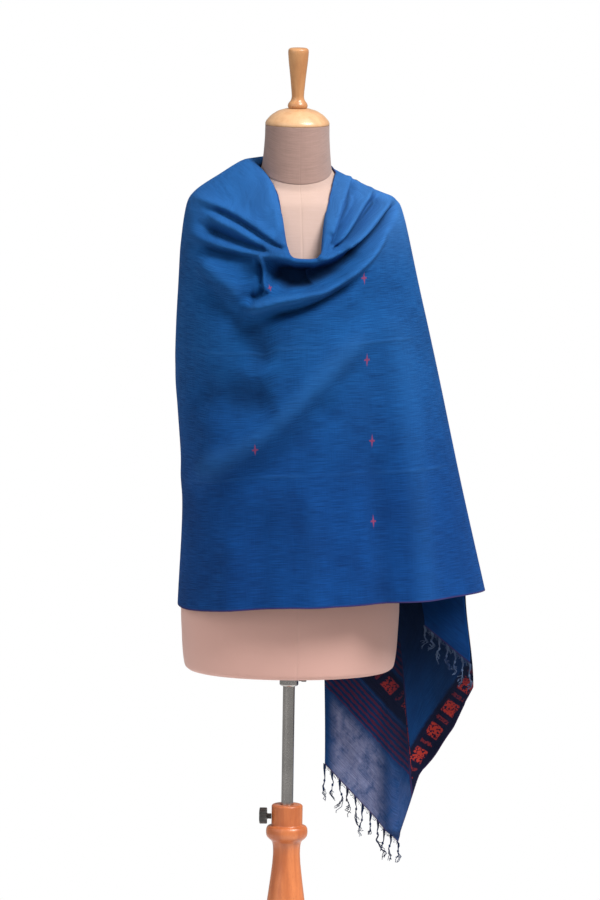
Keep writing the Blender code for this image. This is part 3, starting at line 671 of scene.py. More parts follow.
def makeKnob():
    size = knobPiece
    material, tree, shader = newMaterial("knobPlastic")
    wear = wearOn(onObject(tree), 120.0, 900.0)
    color = mixColors(times(wear["Patch"], 0.5), size["black"], size["worn"])
    finish(shader, color, timesPlus(wear["Speck"], 0.2, 0.36), wear["Speck"], 0.0001, 0.3)
    count = size["lobes"] * size["pointsEach"]
    angle = np.linspace(0.0, 2 * math.pi, count, endpoint=False)
    star = size["headRadius"] + size["lobeDepth"] * np.cos(size["lobes"] * angle)
    stem = np.full(count, size["stemRadius"])
    start, end, edge = size["headStart"], size["headEnd"], size["edge"]
    swings = np.linspace(0.0, math.pi / 2, size["edgeRows"])
    rows = [(end - 0.0006, 0.45 * star), (end - 0.0003, 0.7 * star)]
    rows += [(end + edge * (1 - math.cos(swing)), star - edge * (1 - math.sin(swing))) for swing in swings]
    rows += [(start - edge * (1 - math.cos(swing)), star - edge * (1 - math.sin(swing)))
             for swing in swings[::-1]]
    rows += [(start, 0.6 * star), (start, stem * 1.25), (start + 0.0008, stem),
             (-turnedPiece["socketRadius"] - gap, stem)]
    bm = bmesh.new()
    loops = [[bm.verts.new((x, r * math.cos(a), size["height"] + r * math.sin(a)))
              for r, a in zip(radius, angle)] for x, radius in rows]
    for here, there in zip(loops, loops[1:]):
        for c in range(count):
            n = (c + 1) % count
            bm.faces.new((here[c], here[n], there[n], there[c]))
    bm.faces.new(list(reversed(loops[0])))
    bm.faces.new(loops[-1])
    bmesh.ops.recalc_face_normals(bm, faces=bm.faces)
    mesh = bpy.data.meshes.new("star_knob")
    bm.to_mesh(mesh)
    bm.free()
    knob = newPiece("star_knob", mesh, material)
    mesh.set_sharp_from_angle(angle=math.radians(size["sharpFrom"]))
    standsFor(knob, "lock_knob", "knob")
    print("knob done")


makeKnob()


# The shawl

shawlPiece = {
    "wall": 0.001,             # thickness of the cloth
    "modelWall": 0.002,        # thickness of the wall in the model, which the cloth keeps inside
    "restGap": 0.0009,
    "seamLeft": -100.0,        # degrees round the pole where the front stretch meets the back
    "seamRight": 98.0,
    "seamInset": 0.0002,
    "frontColumns": 190,
    "frontRows": 205,
    "frontCrowding": 2.0,      # how much closer the rows are at the top
    "backColumns": 140,
    "backRows": 150,
    "backCrowding": 1.3,
    "creased": 1.6,            # sharpness of the cowl's folds
    "taper": 0.4,              # share of their size that the cowl's folds lose along the way
    "levelPush": 0.2,          # how much of the slope's rise the folds follow
    "foldsBegin": (0.1, 0.22),    # parts of the way to the hem between which the folds set in
    "hemSkew": 0.0045,         # how much the front hem rises on the right and drops on the left
}

# left, right, front, back, heights of the left, right, front and back, shift, pinch, neckline
rings = [
    (0.06, 0.0585, 0.126, 0.0615, 1.529, 1.519, 1.389, 1.543, 0.016, 1.75, 1.0),
    (0.064, 0.062, 0.142, 0.069, 1.536, 1.522, 1.403, 1.549, 0.016, 1.75, 1.0),
    (0.081, 0.078, 0.156, 0.082, 1.541, 1.517, 1.391, 1.538, 0.014, 1.5, 0.8),
    (0.12, 0.117, 0.16, 0.102, 1.517, 1.499, 1.35, 1.497, 0.008, 1.2, 0.35),
    (0.158, 0.153, 0.163, 0.122, 1.489, 1.483, 1.29, 1.43, 0.003, 1.05, 0.0),
    (0.172, 0.1665, 0.166, 0.132, 1.452, 1.455, 1.235, 1.36, 0.0, 1.0, 0.0),
    (0.1795, 0.192, 0.168, 0.138, 1.35, 1.345, 1.155, 1.26, 0.0, 1.0, 0.0),
    (0.182, 0.223, 0.165, 0.142, 1.215, 1.213, 1.065, 1.14, 0.0, 1.0, 0.0),
    (0.169, 0.262, 0.163, 0.148, 1.025, 1.04, 0.965, 1.0, 0.0, 1.0, 0.0),
    (0.174, 0.3015, 0.166, 0.155, 0.849, 0.876, 0.867, 0.862, 0.0, 1.0, 0.0),
]

# height and spread of each fold, the share over which its last end fades, and its route
# front routes are (x, seen height), ridges positive
frontFolds = [
    # the pleats that run from the left shoulder to the neckline's low point
    (0.014, 0.01, 0.1, [(-0.16, 1.47), (-0.132, 1.459), (-0.104, 1.446), (-0.076, 1.431), (-0.048, 1.412),
                          (-0.02, 1.391), (0.0, 1.378)]),
    (-0.017, 0.0065, 0.06, [(-0.132, 1.45), (-0.104, 1.437), (-0.076, 1.421), (-0.042, 1.399),
                            (-0.014, 1.382)]),
    (0.016, 0.009, 0.1, [(-0.138, 1.441), (-0.115, 1.429), (-0.09, 1.417), (-0.062, 1.4), (-0.034, 1.386),
                          (-0.009, 1.376)]),
    (-0.021, 0.007, 0.08, [(-0.147, 1.422), (-0.118, 1.407), (-0.09, 1.396), (-0.062, 1.387),
                           (-0.04, 1.382)]),
    # the cowl's lip and the hollow under it
    (0.019, 0.008, 0.2, [(-0.158, 1.41), (-0.137, 1.399), (-0.111, 1.39), (-0.081, 1.382), (-0.053, 1.377),
                          (-0.02, 1.372), (0.008, 1.368), (0.026, 1.368), (0.052, 1.376), (0.087, 1.398),
                          (0.119, 1.427), (0.134, 1.452)]),
    (-0.016, 0.01, 0.1, [(-0.152, 1.386), (-0.117, 1.379), (-0.089, 1.375), (-0.061, 1.371)]),
    (-0.034, 0.014, 0.1, [(-0.05, 1.354), (-0.022, 1.351), (0.01, 1.348), (0.045, 1.353), (0.075, 1.368),
                           (0.098, 1.39)]),
    (-0.034, 0.014, 0.04, [(0.036, 1.346), (0.006, 1.344), (-0.02, 1.345), (-0.038, 1.35)]),
    (-0.032, 0.013, 0.15, [(-0.034, 1.34), (-0.008, 1.333), (0.02, 1.333), (0.05, 1.342), (0.08, 1.36)]),
    # the second roll, its pinch at the left and the shade under it
    (0.03, 0.01, 0.2, [(-0.082, 1.298), (-0.061, 1.293), (-0.041, 1.299), (-0.008, 1.309), (0.032, 1.32),
                          (0.06, 1.335), (0.092, 1.357), (0.124, 1.393), (0.148, 1.44)]),
    (0.016, 0.006, 0.1, [(-0.048, 1.38), (-0.046, 1.355), (-0.044, 1.333), (-0.04, 1.318)]),
    (-0.013, 0.005, 0.1, [(-0.056, 1.368), (-0.054, 1.35), (-0.053, 1.33)]),
    (-0.014, 0.006, 0.2, [(-0.072, 1.312), (-0.062, 1.311), (-0.052, 1.318), (-0.048, 1.328)]),
    (-0.02, 0.009, 0.2, [(-0.058, 1.276), (-0.02, 1.284), (0.005, 1.29), (0.04, 1.303), (0.072, 1.322),
                           (0.104, 1.348)]),
    # the pleats of the right side
    (0.012, 0.009, 0.15, [(0.086, 1.515), (0.074, 1.48), (0.058, 1.43), (0.052, 1.405)]),
    (-0.026, 0.0065, 0.06, [(0.092, 1.515), (0.083, 1.468), (0.072, 1.425), (0.057, 1.39)]),
    (0.018, 0.007, 0.12, [(0.116, 1.49), (0.096, 1.454), (0.08, 1.422), (0.06, 1.39)]),
    (-0.026, 0.0065, 0.06, [(0.132, 1.48), (0.108, 1.442), (0.084, 1.409), (0.056, 1.381)]),
    (0.017, 0.008, 0.12, [(0.146, 1.474), (0.124, 1.442), (0.097, 1.41), (0.068, 1.384)]),
    (-0.026, 0.0075, 0.12, [(0.156, 1.462), (0.132, 1.428), (0.106, 1.399), (0.082, 1.376)]),
]

# the soft swags and falls below the cowl
frontSwags = [
    (0.012, 0.018, 0.22, [(-0.15, 1.378), (-0.119, 1.346), (-0.096, 1.327), (-0.075, 1.306)]),
    (-0.009, 0.02, 0.22, [(-0.145, 1.33), (-0.11, 1.292), (-0.078, 1.262)]),
    (-0.014, 0.024, 0.3, [(-0.066, 1.282), (-0.058, 1.24), (-0.046, 1.19)]),
    (-0.014, 0.034, 0.3, [(-0.158, 1.18), (-0.11, 1.16), (-0.06, 1.15), (-0.02, 1.16)]),
    (0.016, 0.023, 0.2, [(0.129, 1.281), (0.088, 1.243), (0.05, 1.2), (0.012, 1.155), (-0.045, 1.1),
                          (-0.108, 1.055), (-0.173, 1.034)]),
    (-0.009, 0.024, 0.3, [(0.07, 1.175), (0.025, 1.115), (-0.04, 1.055), (-0.11, 1.005)]),
    (0.006, 0.024, 0.22, [(-0.118, 1.24), (-0.122, 1.13), (-0.125, 1.0)]),
    (0.012, 0.03, 0.01, [(0.14, 1.33), (0.175, 1.13), (0.215, 0.78)]),
    (-0.01, 0.026, 0.01, [(0.125, 1.12), (0.15, 0.78)]),
    (0.007, 0.026, 0.01, [(0.03, 1.05), (0.04, 0.78)]),
    (-0.006, 0.024, 0.01, [(-0.04, 1.0), (-0.045, 0.78)]),
    (0.005, 0.02, 0.01, [(-0.09, 0.96), (-0.1, 0.78)]),
]

# back routes are (x, height), seen from the front as well
backFolds = [
    (0.008, 0.012, 0.22, [(-0.12, 1.5), (-0.06, 1.49), (0.01, 1.475), (0.07, 1.48)]),
    (-0.007, 0.014, 0.22, [(-0.135, 1.46), (-0.05, 1.445), (0.03, 1.44)]),
    (0.009, 0.02, 0.22, [(-0.165, 1.4), (-0.1, 1.33), (0.0, 1.29), (0.1, 1.3)]),
    (0.008, 0.026, 0.22, [(-0.175, 1.23), (-0.1, 1.13), (0.02, 1.08)]),
    (0.01, 0.022, 0.22, [(-0.12, 1.08), (-0.13, 0.78)]),
    (-0.008, 0.02, 0.22, [(-0.07, 1.1), (-0.075, 0.78)]),
    (0.009, 0.024, 0.22, [(-0.015, 1.05), (-0.01, 0.78)]),
    (0.01, 0.018, 0.22, [(0.038, 1.45), (0.075, 1.15), (0.085, 0.78)]),
    (-0.009, 0.016, 0.22, [(0.062, 1.45), (0.12, 1.15), (0.14, 0.78)]),
    (0.01, 0.018, 0.22, [(0.095, 1.45), (0.172, 1.15), (0.205, 0.78)]),
]


def pinched(value, amount):
    # draws values between -1 and 1 towards 0, and keeps -1, 0 and 1
    soft = 0.05
    return value * ((value ** 2 + soft) / (1 + soft)) ** ((amount - 1) / 2)


def necklineSpread(side):
    # how far across the neckline's edge lies: round at its low point, then steep up both sides
    reach = np.abs(side)
    steep = np.where(side < 0, 12.0, 4.0)
    return np.sign(side) * (0.55 * reach / (reach + 0.1) + 0.5 * reach ** steep)


def shawlBase(angle, part):
    # the inner face without folds, by angle round the pole and part of the way to the hem
    row = np.moveaxis(spline(rings, part), -1, 0)
    left, right, front, back, zLeft, zRight, zFront, zBack, shift, pinch, neckline = row
    side, ahead = np.sin(angle), np.cos(angle)
    isRight, isFront = side >= 0, ahead >= 0
    neckline = np.where(isFront, np.clip(neckline, 0.0, 1.0), 0.0)
    across = (1 - neckline) * pinched(side, pinch) + neckline * necklineSpread(side)
    x = np.where(isRight, right, left) * across
    x = x + np.where(isFront, shift, 0.0) * ahead ** 2
    y = -np.where(isFront, front, back) * pinched(ahead, 1 + 0.6 * (pinch - 1))
    z = np.where(isRight, zRight, zLeft) * side ** 2 + np.where(isFront, zFront, zBack) * ahead ** 2
    z = z + shawlPiece["hemSkew"] * stepUp(0.6, 1.0, part) * np.where(isFront, 2 * side * ahead, 0.0)
    return np.stack([x, y, z], axis=-1)


def surfaceNormals(place, angle, part):
    stepAngle, stepPart = math.radians(0.5), 0.004
    lower = np.clip(part - stepPart, 0.0, 1.0)
    upper = np.clip(part + stepPart, 0.0, 1.0)
    along = place(angle + stepAngle, part) - place(angle - stepAngle, part)
    down = place(angle, upper) - place(angle, lower)
    return unit(np.cross(down, along))


def foldShape(points, route, fade):
    # 1 on the route's line, less towards its ends, and the distance to it
    smooth = spline(route, np.linspace(0.0, 1.0, 6 * len(route)))
    best = np.full(points.shape[:-1], np.inf)
    along = np.zeros(points.shape[:-1])
    for number, (start, end) in enumerate(zip(smooth, smooth[1:])):
        run = end - start
        share = np.clip(((points - start) @ run) / (run @ run), 0.0, 1.0)
        distance = np.linalg.norm(points - start - share[..., None] * run, axis=-1)
        along = np.where(distance < best, (number + share) / (len(smooth) - 1), along)
        best = np.minimum(best, distance)
    ends = stepUp(0.0, 0.22, along) * stepUp(0.0, fade, 1 - along)
    return 0.15 + 0.85 * ends, best, along


def foldHeight(points, folds, sharpness=2.0, taper=0.0):
    # a sharpness of 2 gives round folds, less gives creased ones; the taper is lost by the last end
    total = 0.0
    for height, spread, fade, route in folds:
        share, distance, along = foldShape(points, route, fade)
        full = 1 - taper * along
        total = total + height * full * share * np.exp(-(distance / (spread * full)) ** sharpness)
    return total


def shawlFace(angle, part):
    # the inner face with its folds, clear of the form, and how far the folds lift it
    angle, part = np.broadcast_arrays(np.asarray(angle, float), np.asarray(part, float))
    base = shawlBase(angle, part)
    normals = unit(surfaceNormals(shawlBase, angle, part) * (1.0, 1.0, shawlPiece["levelPush"]))
    x, y, z = np.moveaxis(base, -1, 0)
    seen = np.stack([x, z * math.cos(viewTilt) + y * math.sin(viewTilt)], axis=-1)
    level = np.stack([x, z], axis=-1)
    ahead = stepUp(-0.15, 0.15, np.cos(angle))
    creased = foldHeight(seen, frontFolds, shawlPiece["creased"], shawlPiece["taper"])
    frontRise = creased + foldHeight(seen, frontSwags)
    rise = ahead * frontRise + (1 - ahead) * foldHeight(level, backFolds)
    rise = rise * stepUp(*shawlPiece["foldsBegin"], part)
    turnedIn = 1 - stepUp(0.06, 0.16, part)
    return clearOfForm(base + rise[..., None] * normals,
                       shawlPiece["restGap"] + turnedIn * shawlPiece["modelWall"]), rise


def gridNormals(grid):
    along = np.gradient(grid, axis=1)
    down = np.gradient(grid, axis=0)
    return unit(np.cross(down, along))


def rowParts(rows, crowding):
    # places of the rows from neckline to hem, evenly spaced along the cloth and closer at the top
    fine = np.linspace(0.0, 1.0, 200)
    angles = np.radians(np.arange(0.0, 360.0, 45.0))
    points = shawlBase(angles[None, :], fine[:, None])
    steps = np.linalg.norm(np.diff(points, axis=0), axis=-1).mean(axis=1)
    steps = steps * (1 + (crowding - 1) * (1 - stepUp(0.45, 0.75, fine[1:])))
    run = np.concatenate([[0.0], np.cumsum(steps)])
    return np.interp(np.linspace(0.0, run[-1], rows + 1), run, fine)


def ringGrid(start, end, columns, rows, crowding):
    # rows run from the neckline to the hem, columns with growing angle
    angles = np.radians(np.linspace(start, end, columns + 1))
    parts = rowParts(rows, crowding)
    grid, rise = shawlFace(angles[None, :], parts[:, None])
    inset = shawlPiece["seamInset"] + 0.0006 * (1 - stepUp(0.05, 0.2, parts))[:, None]
    for edge, beside in ((0, 1), (-1, -2)):
        grid[:, edge] += inset * unit(grid[:, beside] - grid[:, edge])
    return grid, angles, rise


def clothUv(grid, angles):
    # metres across from the front centre and up from the hem, as woven
    across = travelled(grid[..., :2], 1)
    centre = np.argmin(np.abs(angles))
    across = across - across[:, centre:centre + 1]
    fromTop = travelled(grid, 0)
    up = fromTop[-1:] - fromTop
    return np.stack([across + clothLook["lean"] * up, up], axis=-1)


def rimOf(grid):
    # distance from the nearest of the first and last row
    fromTop = travelled(grid, 0)
    return np.minimum(fromTop, fromTop[-1:] - fromTop)


def clothShell(name, grid, uv, material, rise):
    # rise is how far the folds lift each point
    piece = newPiece(name, gridMesh(name, grid, uv, {"rim": rimOf(grid), "rise": rise}), material)
    shell = piece.modifiers.new("Wall", "SOLIDIFY")
    shell.thickness = shawlPiece["wall"]
    shell.offset = 1.0
    return applied(piece)


clothLook = {
    "lit": (0.0088, 0.108, 0.358, 1.0),
    "low": (0.0035, 0.068, 0.28, 1.0),        # darker towards the bottom
    "deep": (0.0035, 0.038, 0.15, 1.0),
    # a paler blue: the pressed line's fading, and painted light on the ridges of the folds
    "fadedAndRidgeLight": (0.04, 0.185, 0.5, 1.0),
    # a paler blue for painted light on the shoulders, which face up towards the lamps
    "shoulder": (0.1, 0.33, 0.8, 1.0),
    "pressed": 0.205,          # the cloth was kept folded, with a pressed line this far apart
    # painted shade for the hollows of the folds
    "paintedFoldShade": (0.0015, 0.012, 0.05, 1.0),
    # depth of fold at which the painted shade is deepest
    "fullDepth": 0.02,        # depth of fold at which the colour is deepest
    "motif": (0.33, 0.05, 0.11, 1.0),
    "edge": (0.055, 0.022, 0.085, 1.0),
    "pitch": 0.0009,
    "lean": 0.048,             # how far the woven columns of motifs lean for each metre up
    # columns of small motifs: place across, place of one above the hem, spacing up
    "columns": [(0.1395, 0.129, 0.127), (-0.048, 0.256, 0.296)],
}


def clothShading(tree, uv, ground):
    # weave, streaks and faded patches over the ground colour, with painted light on the folds' ridges and
    # painted shade in their hollows; also the weave's height and streak
    look, deepest = clothLook, clothLook["fullDepth"]
    weave = useGroup(weaveGroup, Vector=uv, Pitch=look["pitch"], Slub=0.8)
    wear = wearOn(uv, 11.0, 260.0)
    streakShare = remap(axisOf(onObject(tree), 2), 1.38, 1.47, 0.7, 0.3)
    tone = plus(times(weave["Streak"], streakShare), times(wear["Patch"], 0.3), clamp=True)
    color = mixColors(tone, ground, mixColors(1.0, ground, (0.42, 0.42, 0.48, 1.0), "MULTIPLY"))
    # painted light on the folds' ridges and painted shade in their hollows, by how far the folds lift the
    # cloth
    rise = pointValue(tree, "rise")
    color = mixColors(remap(rise, 0.004, deepest, 0.0, 0.22), color, look["fadedAndRidgeLight"])
    color = mixColors(remap(rise, -1.5 * deepest, -0.002, 0.85, 0.0), color, look["paintedFoldShade"])
    return mixColors(remap(pointValue(tree, "rim"), 0.001, 0.0034, 0.75, 0.0), color, look["edge"]), weave


def finishCloth(shader, uv, color, weave, raised):
    shader.inputs["Sheen Tint"].default_value = (0.15, 0.45, 1.0, 1.0)
    creases = cloudy(scaled(uv, (16.0, 30.0, 1.0)), 1.0, 3.0, 0.55)
    height = timesPlus(creases, 9.0, plus(weave["Height"], raised))
    finish(shader, color, remap(weave["Streak"], 0.0, 1.0, 0.76, 0.92), height, 0.00035, 0.75)


def shawlMaterial():
    look = clothLook
    material, tree, shader = clothMaterial("handloomBlue", 0.82)
    uv = onUv(tree)
    up = axisOf(uv, 1)
    x, z = (axisOf(onObject(tree), axis) for axis in (0, 2))
    ground = mixColors(remap(z, 1.0, 1.3), look["low"], look["lit"])
    # painted light on the shoulders, stronger on the right where the key light falls
    shoulderLightShare = remap(x, -0.15, 0.15, 0.12, 0.42)
    ground = mixColors(remap(z, 1.36, 1.5, 0.0, shoulderLightShare), ground, look["shoulder"])
    color, weave = clothShading(tree, uv, ground)
    marks = 0.0
    for across, first, spacing in look["columns"]:
        motif = useGroup(motifGroup, Vector=uv, Across=0.5, Up=spacing, Start_Across=across, Start_Up=first)
        marks = greater(motif["Mask"], marks)
    marks = times(marks, times(remap(up, 0.02, 0.03), remap(up, 0.59, 0.6, 1.0, 0.0)))
    color = mixColors(times(marks, 0.8), color, look["motif"])
    panel = minus(fraction(plus(divided(up, look["pressed"]), 0.5)), 0.5)
    line = remap(absolute(panel), 0.002, 0.022, 1.0, 0.0)
    line = times(line, times(remap(up, 0.03, 0.06), remap(up, 0.43, 0.46, 1.0, 0.0)))
    line = times(line, remap(cloudy(uv, 9.0), 0.3, 0.6))
    color = mixColors(times(line, 0.1), color, look["fadedAndRidgeLight"])
    finishCloth(shader, uv, color, weave, timesPlus(line, 3.5, times(marks, 1.2)))
    return material


def makeBandGroup():
    # the woven end's bands, by the distance from its fringed edge, which hangs at a slant
    labels = ("Striped", "Stripes", "Ground", "Blocks", "Sheer")
    group, given, out = newGroup("endBands", [], [(label, "Float") for label in labels])
    x, z = (axisOf(given["Vector"], axis) for axis in (0, 2))

    def along(point, direction):
        # distance from a point along a direction in the plane of x and z
        return timesPlus(minus(z, point[1]), direction[1], times(minus(x, point[0]), direction[0]))

    def between(low, high, value, soft=0.0015):
        up = remap(value, low - soft, low + soft)
        return times(up, remap(value, high - soft, high + soft, 1.0, 0.0))

    corner, bend = (0.058, 0.571), (0.206, 0.564)
    left = along(corner, (0.713, 0.701))
    right = plus(along(bend, (-0.862, 0.507)), 0.15)
    beyond = remap(along((0.1937, 0.5557), (1.0, 0.0824)), -0.002, 0.002, smooth=False)
    ragged = times(minus(cloudy(scaled(given["Vector"], (160.0, 40.0, 160.0)), 1.0, 2.0), 0.5), 0.004)
    distance = plus(plus(left, times(beyond, minus(right, left))), ragged)
    sideways = along(corner, (0.701, -0.713))
    spaced = minus(sideways, times(beyond, minus(sideways, along(bend, (0.507, 0.862)))))
    striped = greater(between(0.088, 0.133, distance), between(0.186, 0.226, distance))
    shown = times(striped, minus(1.0, times(beyond, remap(z, 0.57, 0.6))))
    lines = remap(sine(times(distance, 2 * math.pi / 0.0078)), -0.3, 0.5)
    place = absolute(minus(fraction(divided(spaced, 0.047)), 0.5))
    great, small = remap(place, 0.22, 0.27, 1.0, 0.0), remap(place, 0.41, 0.45, 0.0, 0.4)
    block = times(plus(great, small), between(0.154, 0.174, distance, 0.001))
    cells = cloudy(scaled(given["Vector"], (330.0, 40.0, 330.0)), 1.0, 1.0)
    mottled = cloudy(scaled(given["Vector"], (66.0, 30.0, 50.0)), 1.0, 5.0, 0.7)
    sheer = times(between(-0.05, 0.08, distance, 0.012), remap(mottled, 0.22, 0.66, 0.15, 1.0))
    opaque = times(remap(x, 0.135, 0.16, 1.0, 0.15), remap(x, 0.06, 0.08))
    for label, value in zip(labels, (shown, times(lines, shown), between(0.137, 0.182, distance, 0.003),
                                     times(block, remap(cells, 0.4, 0.5)), times(sheer, opaque))):
        feed(value, out[label])
    return group


def insideShade(tree):
    # painted shade on the inner face, close under the hem and beside the middle fold
    facing = axisOf(tree.nodes.new("ShaderNodeNewGeometry").outputs["Normal"], 1)
    x, z = (axisOf(onObject(tree), axis) for axis in (0, 2))
    fromFold = plus(timesPlus(z, 0.0824, x), -0.2395)
    beside = times(remap(fromFold, -0.06, -0.004, 0.0, 0.7), remap(fromFold, -0.002, 0.002, 1.0, 0.0))
    beside = times(beside, remap(z, 0.5, 0.62))
    return times(remap(facing, -0.5, -0.1, 1.0, 0.0), greater(remap(z, 0.62, 0.8, 0.0, 0.85), beside))


def endMaterial():
    look = endPiece
    material, tree, shader = clothMaterial("handloomEnd", 0.82)
    uv = onUv(tree)
    band = useGroup(makeBandGroup(), Vector=onObject(tree))
    # the end's ground blue carries painted shade all over
    ground = mixColors(band["Striped"], look["blueWithPaintedShade"], clothLook["deep"])
    ground = mixColors(band["Ground"], ground, look["navy"])
    ground = mixColors(times(band["Sheer"], 0.75), ground, look["pale"])
    color, weave = clothShading(tree, uv, ground)
    color = mixColors(times(band["Stripes"], 0.85), color, look["stripe"])
    color = mixColors(times(band["Blocks"], 0.95), color, look["block"])
    color = mixColors(insideShade(tree), color, look["shade"])
    finishCloth(shader, uv, color, weave, plus(band["Blocks"], band["Stripes"]))
    return material


endPiece = {
    # the end's blue, darker than the shawl's ground as painted shade under the hem
    "blueWithPaintedShade": (0.007, 0.066, 0.235, 1.0),
    "navy": (0.01, 0.013, 0.045, 1.0),
    "pale": (0.4, 0.44, 0.68, 1.0),
    "stripe": (0.105, 0.016, 0.045, 1.0),
    "block": (0.52, 0.045, 0.03, 1.0),
    "shade": (0.002, 0.0065, 0.024, 1.0),
    "modelColumns": 36,        # the model's grid of the back, which the ends lie along
    "modelRows": 20,
    # edge: share of the way along the bottom edge from its left corner, x, y, z
    "long": {
        "edge": [(0.0, 0.058, 0.16, 0.571), (0.5, 0.176, 0.145, 0.451), (0.64, 0.208, 0.135, 0.566),
                 (0.84, 0.258, 0.105, 0.64), (1.0, 0.288, 0.075, 0.711)],
        "between": (4, 16),
        "topRow": 2,
        "columns": 90,
        "rowsAbove": 110,
        "rowsBelow": 70,
        "folds": [(0.008, 0.016, 0.01, [(0.04, 1.45), (0.085, 1.0), (0.085, 0.56)]),
                  (-0.016, 0.018, 0.01, [(0.075, 1.45), (0.15, 1.0), (0.165, 0.46)]),
                  (0.012, 0.02, 0.01, [(0.1, 1.45), (0.2, 1.0), (0.222, 0.56)]),
                  (-0.006, 0.014, 0.01, [(0.125, 1.4), (0.238, 1.0), (0.262, 0.68)])],
    },
    "short": {
        "edge": [(0.0, 0.211, 0.092, 0.804), (1.0, 0.281, 0.03, 0.756)],
        "between": (4, 9),
        "topRow": 15,
        "columns": 40,
        "rowsAbove": 36,
        "rowsBelow": 24,
        "folds": [],
    },
}


def edgeAt(table, share):
    places = [row[0] for row in table]
    return np.stack([np.interp(share, places, [row[k] for row in table]) for k in (1, 2, 3)], axis=-1)


def hangingEnd(end, offset):
    # an end lies along the back, moved out by the offset, and falls free below the hem
    size, count = shawlPiece, end["rowsBelow"]
    step = (360.0 + size["seamLeft"] - size["seamRight"]) / endPiece["modelColumns"]
    first, last = (size["seamRight"] + step * column for column in end["between"])
    angles = np.radians(np.linspace(first, last, end["columns"] + 1))
    parts = rowParts(size["backRows"], size["backCrowding"])
    parts = parts[parts >= rowParts(endPiece["modelRows"], size["backCrowding"])[end["topRow"]]]
    parts = np.interp(np.linspace(0.0, 1.0, end["rowsAbove"] + 1), np.linspace(0.0, 1.0, len(parts)), parts)
    lying, _ = shawlFace(angles[None, :], parts[:, None])
    upper = lying + offset * gridNormals(lying)
    hem = upper[-1]
    fall = edgeAt(end["edge"], np.linspace(1.0, 0.0, end["columns"] + 1)) - hem
    drop = np.arange(1, count + 1)[:, None, None] / count
    free = hem + fall * drop
    free[..., :2] = hem[:, :2] + fall[:, :2] * stepUp(0.0, 1.0, drop)
    normals = gridNormals(np.vstack([upper[-2:], free]))[2:]
    lift = np.linspace(0.15, 1.0, count)[:, None] * foldHeight(free[..., [0, 2]], end["folds"])
    return np.vstack([upper, free + lift[..., None] * normals])


def endUv(grid):
    # metres across, and from the woven end upwards
    fromTop = travelled(grid, 0)
    return np.stack([travelled(grid, 1), fromTop[-1:] - fromTop], axis=-1)


fringePiece = {
    "knotPlace": 0.42,         # share of a tassel's length above its knot
    "knotRadius": 0.0019,
    "spread": 0.0058,          # width of a tassel's threads where they leave the cloth
    "sway": (0.02, 0.008, 0.01),
    "curl": (0.011, 0.006, 0.007),
    "points": 18,              # points along each thread
    # reach is the share of the bottom edge that is fringed; the short end's threads are worn and faded
    "long": {"Tassels": 11, "Threads": 5, "Length": 0.049, "Ravels": 62, "Ravel Length": 0.0065,
             "Thread Radius": 0.00056, "Seed": 3.0, "Reach": 0.5,
             "Yarn": ("fringeYarn", (0.004, 0.006, 0.022, 1.0), (0.01, 0.03, 0.1, 1.0))},
    "short": {"Tassels": 7, "Threads": 5, "Length": 0.04, "Ravels": 44, "Ravel Length": 0.0085,
              "Thread Radius": 0.00056, "Seed": 8.0, "Reach": 1.0,
              "Yarn": ("wornFringeYarn", (0.01, 0.03, 0.1, 1.0), (0.11, 0.16, 0.26, 1.0))},
}


def geometry(tree, kind, **values):
    return newNode(tree, "GeometryNode" + kind, **values).outputs[0]


def vectors(operation, first, second):
    node = nodeFor([first], "ShaderNodeVectorMath")
    node.operation = operation
    feed(first, node.inputs[0])
    feed(second, node.inputs["Scale" if operation == "SCALE" else 1])
    return node.outputs[0]


def combined(x, y, z):
    return nodeFor((x, y, z), "ShaderNodeCombineXYZ", X=x, Y=y, Z=z).outputs[0]


def storeValue(points, name, kind, value):
    node = nodeFor([points], "GeometryNodeStoreNamedAttribute")
    node.data_type = kind
    for item, label in ((points, "Geometry"), (name, "Name"), (value, "Value")):
        feed(item, node.inputs[label])
    return node.outputs[0]


def storedValue(tree, name, kind):
    node = tree.nodes.new("GeometryNodeInputNamedAttribute")
    node.data_type = kind
    node.inputs["Name"].default_value = name
    return node.outputs["Attribute"]


def chance(value, shift):
    node = nodeFor([value], "ShaderNodeTexWhiteNoise")
    node.noise_dimensions = "1D"
    feed(plus(value, shift), node.inputs["W"])
    return node.outputs["Value"]


def wander(vector, amount):
    noise = nodeFor([vector], "ShaderNodeTexNoise", Vector=vector, Scale=1.0).outputs["Color"]
    centred = vectors("SUBTRACT", noise, (0.5, 0.5, 0.5))
    return vectors("MULTIPLY", centred, tuple(2 * part for part in amount))


def threadPath(part, length, seed, knotted):
    # where a thread hangs, from its root, at a part of its length; tassels draw in to their knot
    size, tree = fringePiece, part.id_data
    knot, spread, loose = (size["knotPlace"], size["spread"], 1.0) if knotted else (0.0, 0.0, 0.25)
    tassel, strand = (storedValue(tree, name, "FLOAT") for name in ("tassel", "strand"))
    number = plus(times(tassel, 3.7), seed)
    ownNumber = timesPlus(strand, 9.3, number)
    below = remap(part, knot, 1.0, smooth=False)
    drop = times(length, timesPlus(chance(number, 0.3), 0.56, 0.72))
    drop = times(drop, minus(1.0, times(times(chance(ownNumber, 0.9), below), 0.34)))
    gather = greater(remap(part, 0.0, max(knot, 0.01), 1.0, 0.1), remap(part, knot, 1.0, 0.1, 0.55))
    side = vectors("SCALE", storedValue(tree, "along", "FLOAT_VECTOR"), times(strand, times(gather, spread)))
    swing = wander(combined(number, times(part, 2.4), 0.0), size["sway"])
    curl = wander(combined(ownNumber, 4.1, times(part, 3.4)), size["curl"])
    hung = vectors("ADD", side, vectors("SCALE", swing, times(part, loose)))
    hung = vectors("ADD", hung, vectors("SCALE", curl, times(below, loose)))
    return vectors("ADD", hung, combined(0.0, 0.0, times(times(drop, part), -1.0)))


